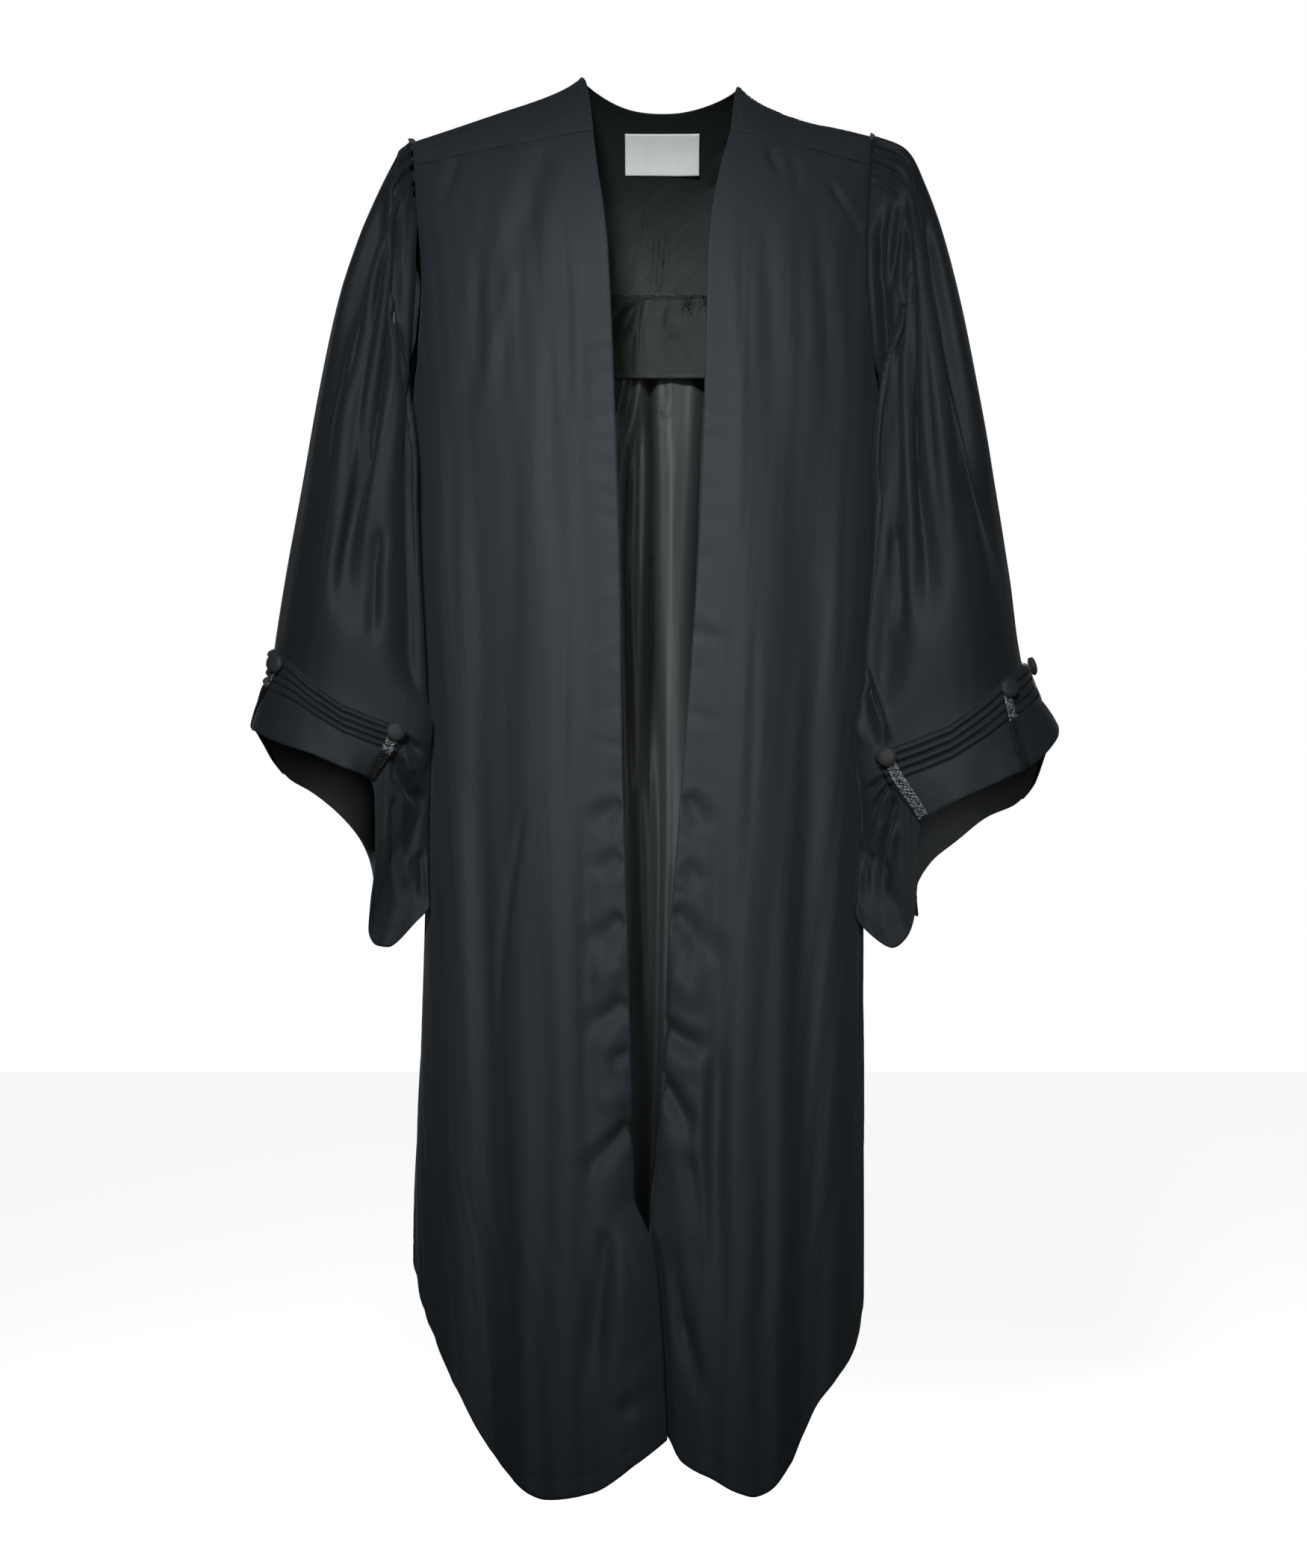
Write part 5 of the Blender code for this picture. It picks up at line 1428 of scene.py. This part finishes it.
def stitches(line, facing, lift, pitch=STITCH_PITCH, length=STITCH_LENGTH, radius=STITCH_RADIUS):
    """Sewn stitches along a line, each a short spindle lying on the cloth."""
    run = np.concatenate([[0], np.cumsum(np.linalg.norm(np.diff(line, axis=0), axis=1))])
    at = np.arange(pitch / 2, run[-1] - pitch / 2, pitch)

    def read(values, where):
        return np.stack([np.interp(where, run, values[:, k]) for k in range(3)], axis=1)

    out = read(facing, at)
    out /= np.linalg.norm(out, axis=1, keepdims=True)
    start, end = read(line, at - length / 2), read(line, at + length / 2)
    middle = (start + end) / 2 + out * lift
    start, end = start + out * (lift - radius * 1.2), end + out * (lift - radius * 1.2)
    side = np.cross(end - start, out)
    side /= np.maximum(np.linalg.norm(side, axis=1, keepdims=True), 1e-9)
    ring = [middle + side * radius, middle + out * radius, middle - side * radius, middle - out * radius]
    places = np.stack([start, end, *ring], axis=1).reshape(-1, 3)
    pattern = [(0, 2, 3), (0, 3, 4), (0, 4, 5), (0, 5, 2), (1, 3, 2), (1, 4, 3), (1, 5, 4), (1, 2, 5)]
    faces = (np.array(pattern)[None] + 6 * np.arange(len(at))[:, None, None]).reshape(-1, 3)
    return places, faces


def joined(parts):
    """Several sets of places and faces as one."""
    places, faces, count = [], [], 0
    for some, shapes in parts:
        places.append(some)
        faces.append(shapes + count)
        count += len(some)
    return np.concatenate(places), np.concatenate(faces)


def stitched(name, lines, finish):
    """Rows of stitches as one piece; each line is (points, turn, edge, distance inside it, lift)."""
    parts = []
    for points, turn, edge, distance, lift in lines:
        line, facing = inset_line(points, turn, edge, distance)
        parts.append(stitches(line, facing * (1 if lift > 0 else -1), abs(lift)))
    places, faces = joined(parts)
    return make(name, places, faces, [finish])


def ring_faces(rings, sides):
    """The faces between closed rings of points, one ring after another."""
    first = np.arange(rings - 1)[:, None] * sides
    here, after = np.arange(sides)[None, :], (np.arange(sides)[None, :] + 1) % sides
    faces = np.stack([first + here, first + after, first + sides + after, first + sides + here], axis=2)
    return faces.reshape(-1, 4)


def tube(path, radius, sides=6):
    """A round strand along a path, tapered shut at its ends; radius is one value or one for each point."""
    path = np.asarray(path, float)
    along = np.gradient(path, axis=0)
    along /= np.linalg.norm(along, axis=1, keepdims=True)
    aside = np.cross(along, (0.31, 0.83, 0.46))
    aside /= np.linalg.norm(aside, axis=1, keepdims=True)
    up = np.cross(along, aside)
    size = np.broadcast_to(radius, len(path)).copy()
    size[0] *= 0.3
    size[-1] *= 0.3
    turns = np.linspace(0, 2 * math.pi, sides, endpoint=False)
    ring = aside[:, None] * np.cos(turns)[None, :, None] + up[:, None] * np.sin(turns)[None, :, None]
    places = (path[:, None] + ring * size[:, None, None]).reshape(-1, 3)
    return places, ring_faces(len(path), sides)


def braid(name, side, top, bottom, painted_glint_share, finishes):
    """A flat plait of silk strands that cross over and under; its upper length has painted glints, below that
    it is plain black.
    """
    surface = braid_surface(side, top, bottom)
    length = arcs(surface, 0)[-1].mean()
    turns = max(2.0, length / STRAND_TURN_LENGTH)
    parts = []
    down = np.linspace(0, 1, STRAND_STEPS)
    for strand in range(BRAID_STRANDS):
        phase = 2 * strand / BRAID_STRANDS
        travel = (phase + turns * down) % 2
        across = np.where(travel < 1, travel, 2 - travel)
        across = 0.5 - STRAND_SWING * np.cos(math.pi * across)
        over = np.sin(BRAID_STRANDS * math.pi * (phase + turns * down) / 2 + 0.6)
        place, facing = on_grid(surface, SIGN[side], across, down)
        path = place + facing * (0.45 * over - 0.1)[:, None]
        parts.append(tube(path, STRAND_RADIUS, STRAND_SIDES))
    places, faces = joined(parts)
    piece = make(f"plaited_{name}", places, faces, finishes, places[:, [0, 2]])
    black = np.tile(np.repeat(down[:-1] > painted_glint_share, STRAND_SIDES), BRAID_STRANDS)
    piece.data.polygons.foreach_set("material_index", black.astype(np.int32))
    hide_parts(name)


def button(name, side, degrees, finish):
    """A cloth-covered button: flat back, pinched waist, domed face and drawn folds."""
    angle = math.radians(degrees)
    angles = np.array([angle - SMALL_ANGLE, angle, angle + SMALL_ANGLE])
    under = sleeve_points(side, angles, [BUTTON_LEVEL])[0, 1]
    out = sleeve_points(side, angles, [BUTTON_LEVEL], BUTTON_LIFT)[0, 1]
    facing = (Vector(out - under).normalized() + Vector((0, -TURNED_FORWARD.get(name, 0), 0))).normalized()
    turn = np.array(facing.to_track_quat("Z", "Y").to_matrix())
    radius = column(BUTTON_PROFILE, BUTTON_COLUMNS, "radius")[:, None]
    height = column(BUTTON_PROFILE, BUTTON_COLUMNS, "height")[:, None]
    around = np.linspace(0, 2 * math.pi, BUTTON_SIDES, endpoint=False)
    drawn = 1 + 0.018 * np.sin(around * 9 + 5 * height) * (height < 0.6)
    reach = BUTTON_RADIUS * radius * drawn
    rise = BUTTON_DEPTH * height + 0 * reach
    local = np.stack([reach * np.cos(around), reach * np.sin(around), rise], axis=2).reshape(-1, 3)
    faces = ring_faces(len(BUTTON_PROFILE), BUTTON_SIDES)
    piece = make(f"covered_{name}", local @ turn.T + out, faces, [finish], local[:, :2])
    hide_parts(name)


def loose_threads(finish):
    """The gathering thread along the seam inside the back, and a few thread ends that hang from it."""
    chance = np.random.default_rng(71)
    parts = []
    run = np.linspace(2 - STAY_HALF_WIDTH, STAY_HALF_WIDTH - 2, 300)
    z = BACK_SEAM_Z - 0.9 + 0.5 * np.sin(run / 7.3) + 0.35 * np.sin(run / 2.9 + 1)
    gathering = np.stack([run, back_y(run, z) - STAY_TOP_CLEARANCE - 0.4, z], axis=1)
    parts.append(tube(gathering, 0.75 + 0.2 * np.sin(run / 5.1), 6))
    for _ in range(THREAD_ENDS):
        x = chance.uniform(*THREAD_END_X)
        start = np.array([x, 0, BACK_SEAM_Z + chance.uniform(-2, 3)])
        start[1] = float(back_y(start[0], start[2])) - THREAD_CLEARANCE
        steps = chance.normal(0, 1.0, (7, 3)) * (1.3, 0.5, 1.0) + (0, -0.3, -1.4)
        path = start + np.concatenate([[[0, 0, 0]], np.cumsum(steps, axis=0)])
        path[:, 1] = np.minimum(path[:, 1], back_y(path[:, 0], path[:, 2]) - THREAD_CLEARANCE)
        fine = np.linspace(0, 1, 22)
        known = np.linspace(0, 1, len(path))
        parts.append(tube(np.stack([smooth(fine, known, path[:, k]) for k in range(3)], axis=1), 0.36, 5))
    places, faces = joined(parts)
    return make("thread_ends", places, faces, [finish])


def lights_and_camera():
    world = bpy.data.worlds.new("studio")
    bpy.context.scene.world = world
    world.use_nodes = True
    world.node_tree.nodes["Background"].inputs["Color"].default_value = (1, 1, 1, 1)
    world.node_tree.nodes["Background"].inputs["Strength"].default_value = 1.0
    for ray in ("diffuse", "glossy", "transmission", "scatter"):
        setattr(world.cycles_visibility, ray, False)
    bpy.context.scene.view_settings.view_transform = "Standard"

    def soft_light(name, place, aim, size, power, spread, colour, glossy):
        data = bpy.data.lights.new(name, "AREA")
        data.shape, data.size, data.energy, data.color = "DISK", size, power, colour
        data.spread = math.radians(spread)
        lamp = bpy.data.objects.new(name, data)
        lamp.visible_camera, lamp.visible_glossy = False, glossy
        lamp.location = place
        lamp.rotation_mode = "QUATERNION"
        lamp.rotation_quaternion = (Vector(aim) - Vector(place)).to_track_quat("-Z", "Y")
        bpy.context.scene.collection.objects.link(lamp)

    for row in LIGHTS:
        soft_light(**dict(zip(LIGHT_COLUMNS, row)))

    data = bpy.data.cameras.new("front")
    data.lens, data.sensor_width = CAMERA_LENS, 36
    camera = bpy.data.objects.new("front", data)
    camera.location = (0, -CAMERA_BACK * MM, CAMERA_Z * MM)
    camera.rotation_euler = (math.pi / 2, 0, 0)
    bpy.context.scene.collection.objects.link(camera)
    bpy.context.scene.camera = camera


def studio_floor():
    recipe = Recipe("pale_floor")
    place = recipe.node("ShaderNodeNewGeometry", {}, {}, 0)
    grain = recipe.noise(place, 40.0, 3.0, 0.5)
    colour = recipe.mix(grain, grey(0.80), grey(0.84))
    finish = recipe.finish(**{
        "Base Color": colour, "Roughness": 0.85, "Specular IOR Level": 0.1,
        "Emission Color": (1, 1, 1, 1), "Emission Strength": 0.92,
    })
    mesh = bpy.data.meshes.new("floor")
    reach, level = 7.0, FLOOR_Z * MM
    mesh.from_pydata([(-reach, -reach, level), (reach, -reach, level), (reach, reach, level),
                      (-reach, reach, level)], [], [(0, 1, 2, 3)])
    mesh.materials.append(finish)
    floor = bpy.data.objects.new("floor", mesh)
    bpy.context.scene.collection.objects.link(floor)
    for ray in ("diffuse", "glossy"):
        setattr(floor, f"visible_{ray}", False)


def cloth_piece(
    name, made, finishes, wall,
    tube=False, edges=("top", "bottom"), tuck=False, seams=(), thread=None, straight=0,
):
    """One cloth panel with its stitching, in place of its part from the model."""
    points, turn = made
    shape = tucked(points, turn) if tuck else points
    piece = panel(f"cloth_{name}", shape, turn, finishes, "cloth", wall, tube, edges, straight)
    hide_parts(name)
    if seams:
        rows = [(points, turn, *seam) for seam in seams]
        stitched(f"stitching_{name}", rows, thread)
    return piece


def build():
    satins = {name: satin(name, **dict(zip(SATIN_COLUMNS, row))) for name, row in SATINS.items()}
    # The inside satin's lightness is partly painted light for surfaces inside the gown
    inside = satins["satin_inside"]
    cloth, lined = [satins["black_satin"], inside], [satins["black_satin"], satins["yoke_inside"]]
    # Sleeves and cuffs take the darker copy of the satin, which is painted shade; the sleeves' inner face
    # takes the lighter inside satin
    sleeve, doubled = [satins["shaded_sleeve_satin"]], [satins["shaded_sleeve_satin"], inside]
    black_thread = sewing_thread("black_thread", 0.005, 0.012, 0.6)
    white_thread = sewing_thread("white_thread", 0.7, 0.85, 0.6)
    silks = [silk_braid(name, **dict(zip(SILK_COLUMNS, row))) for name, row in SILKS.items()]
    covered = covered_button("covered_button")
    woven = white_label("white_label")

    cloth_piece(
        "yoke", yoke_cloth(), lined, WALL,
        thread=black_thread,
        seams=(
            ("first", SEAM_ROW, STITCH_LIFT), ("last", SEAM_ROW, STITCH_LIFT),
            ("top", NECK_ROW, STITCH_LIFT),
        ),
    )
    for side in SIGN:
        cloth_piece(
            f"front_{side}", front_cloth(side), cloth, WALL,
            tuck=True, edges=("bottom", "last"), thread=black_thread, straight=FRONT_STRAIGHT,
            seams=(
                ("top", SEAM_ROW, STITCH_LIFT), ("bottom", HEM_DEPTH, STITCH_LIFT),
                ("last", FRONT_EDGE_ROW, STITCH_LIFT),
            ),
        )
    back = cloth_piece(
        "back", back_cloth(), cloth, WALL,
        tuck=True, edges=("bottom",), thread=black_thread, straight=BACK_STRAIGHT,
        seams=(("top", SEAM_ROW, STITCH_LIFT), ("bottom", HEM_DEPTH, STITCH_LIFT)),
    )
    # The back's deep folds are marked for the painted shade of its inside satin
    mark_painted_fold_shade(back, BACK_FOLDS)
    cloth_piece(
        "stay", stay_cloth(), [satins["yoke_inside"]], BAND_WALL,
        edges=("bottom",), thread=black_thread, seams=(("bottom", STAY_HEM_DEPTH, STAY_STITCH_LIFT),),
    )
    label = label_cloth()
    piece = panel("woven_label", *label, [woven], "label", LABEL_WALL, edges=())
    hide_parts("label")
    rows = [(*label, edge, LABEL_ROW, LABEL_STITCH_LIFT) for edge in ("top", "bottom", "first", "last")]
    sewing = stitched("stitching_label", rows, white_thread)
    loose_threads(black_thread)
    for side in SIGN:
        cloth_piece(
            f"sleeve_{side}", sleeve_cloth(side), doubled, WALL,
            tube=True, tuck=True, edges=("bottom",),
            thread=black_thread, seams=(("bottom", SLEEVE_HEM_DEPTH, STITCH_LIFT),),
        )
        cloth_piece(
            f"cuff_{side}", cuff_cloth(side), sleeve, BAND_WALL,
            edges=("bottom",), thread=black_thread,
            seams=(("bottom", CUFF_HEM_DEPTH, CUFF_STITCH_LIFT),),
        )
        for row in BRAIDS[side]:
            strip = dict(zip(BRAID_COLUMNS, row))
            own = f"{strip['place']}_{side}"
            braid(f"braid_{own}", side, strip["top"], strip["bottom"], strip["painted_glint_share"], silks)
            button(f"button_{own}", side, strip["top"], covered)


lights_and_camera()
studio_floor()
build()
bpy.context.view_layer.update()
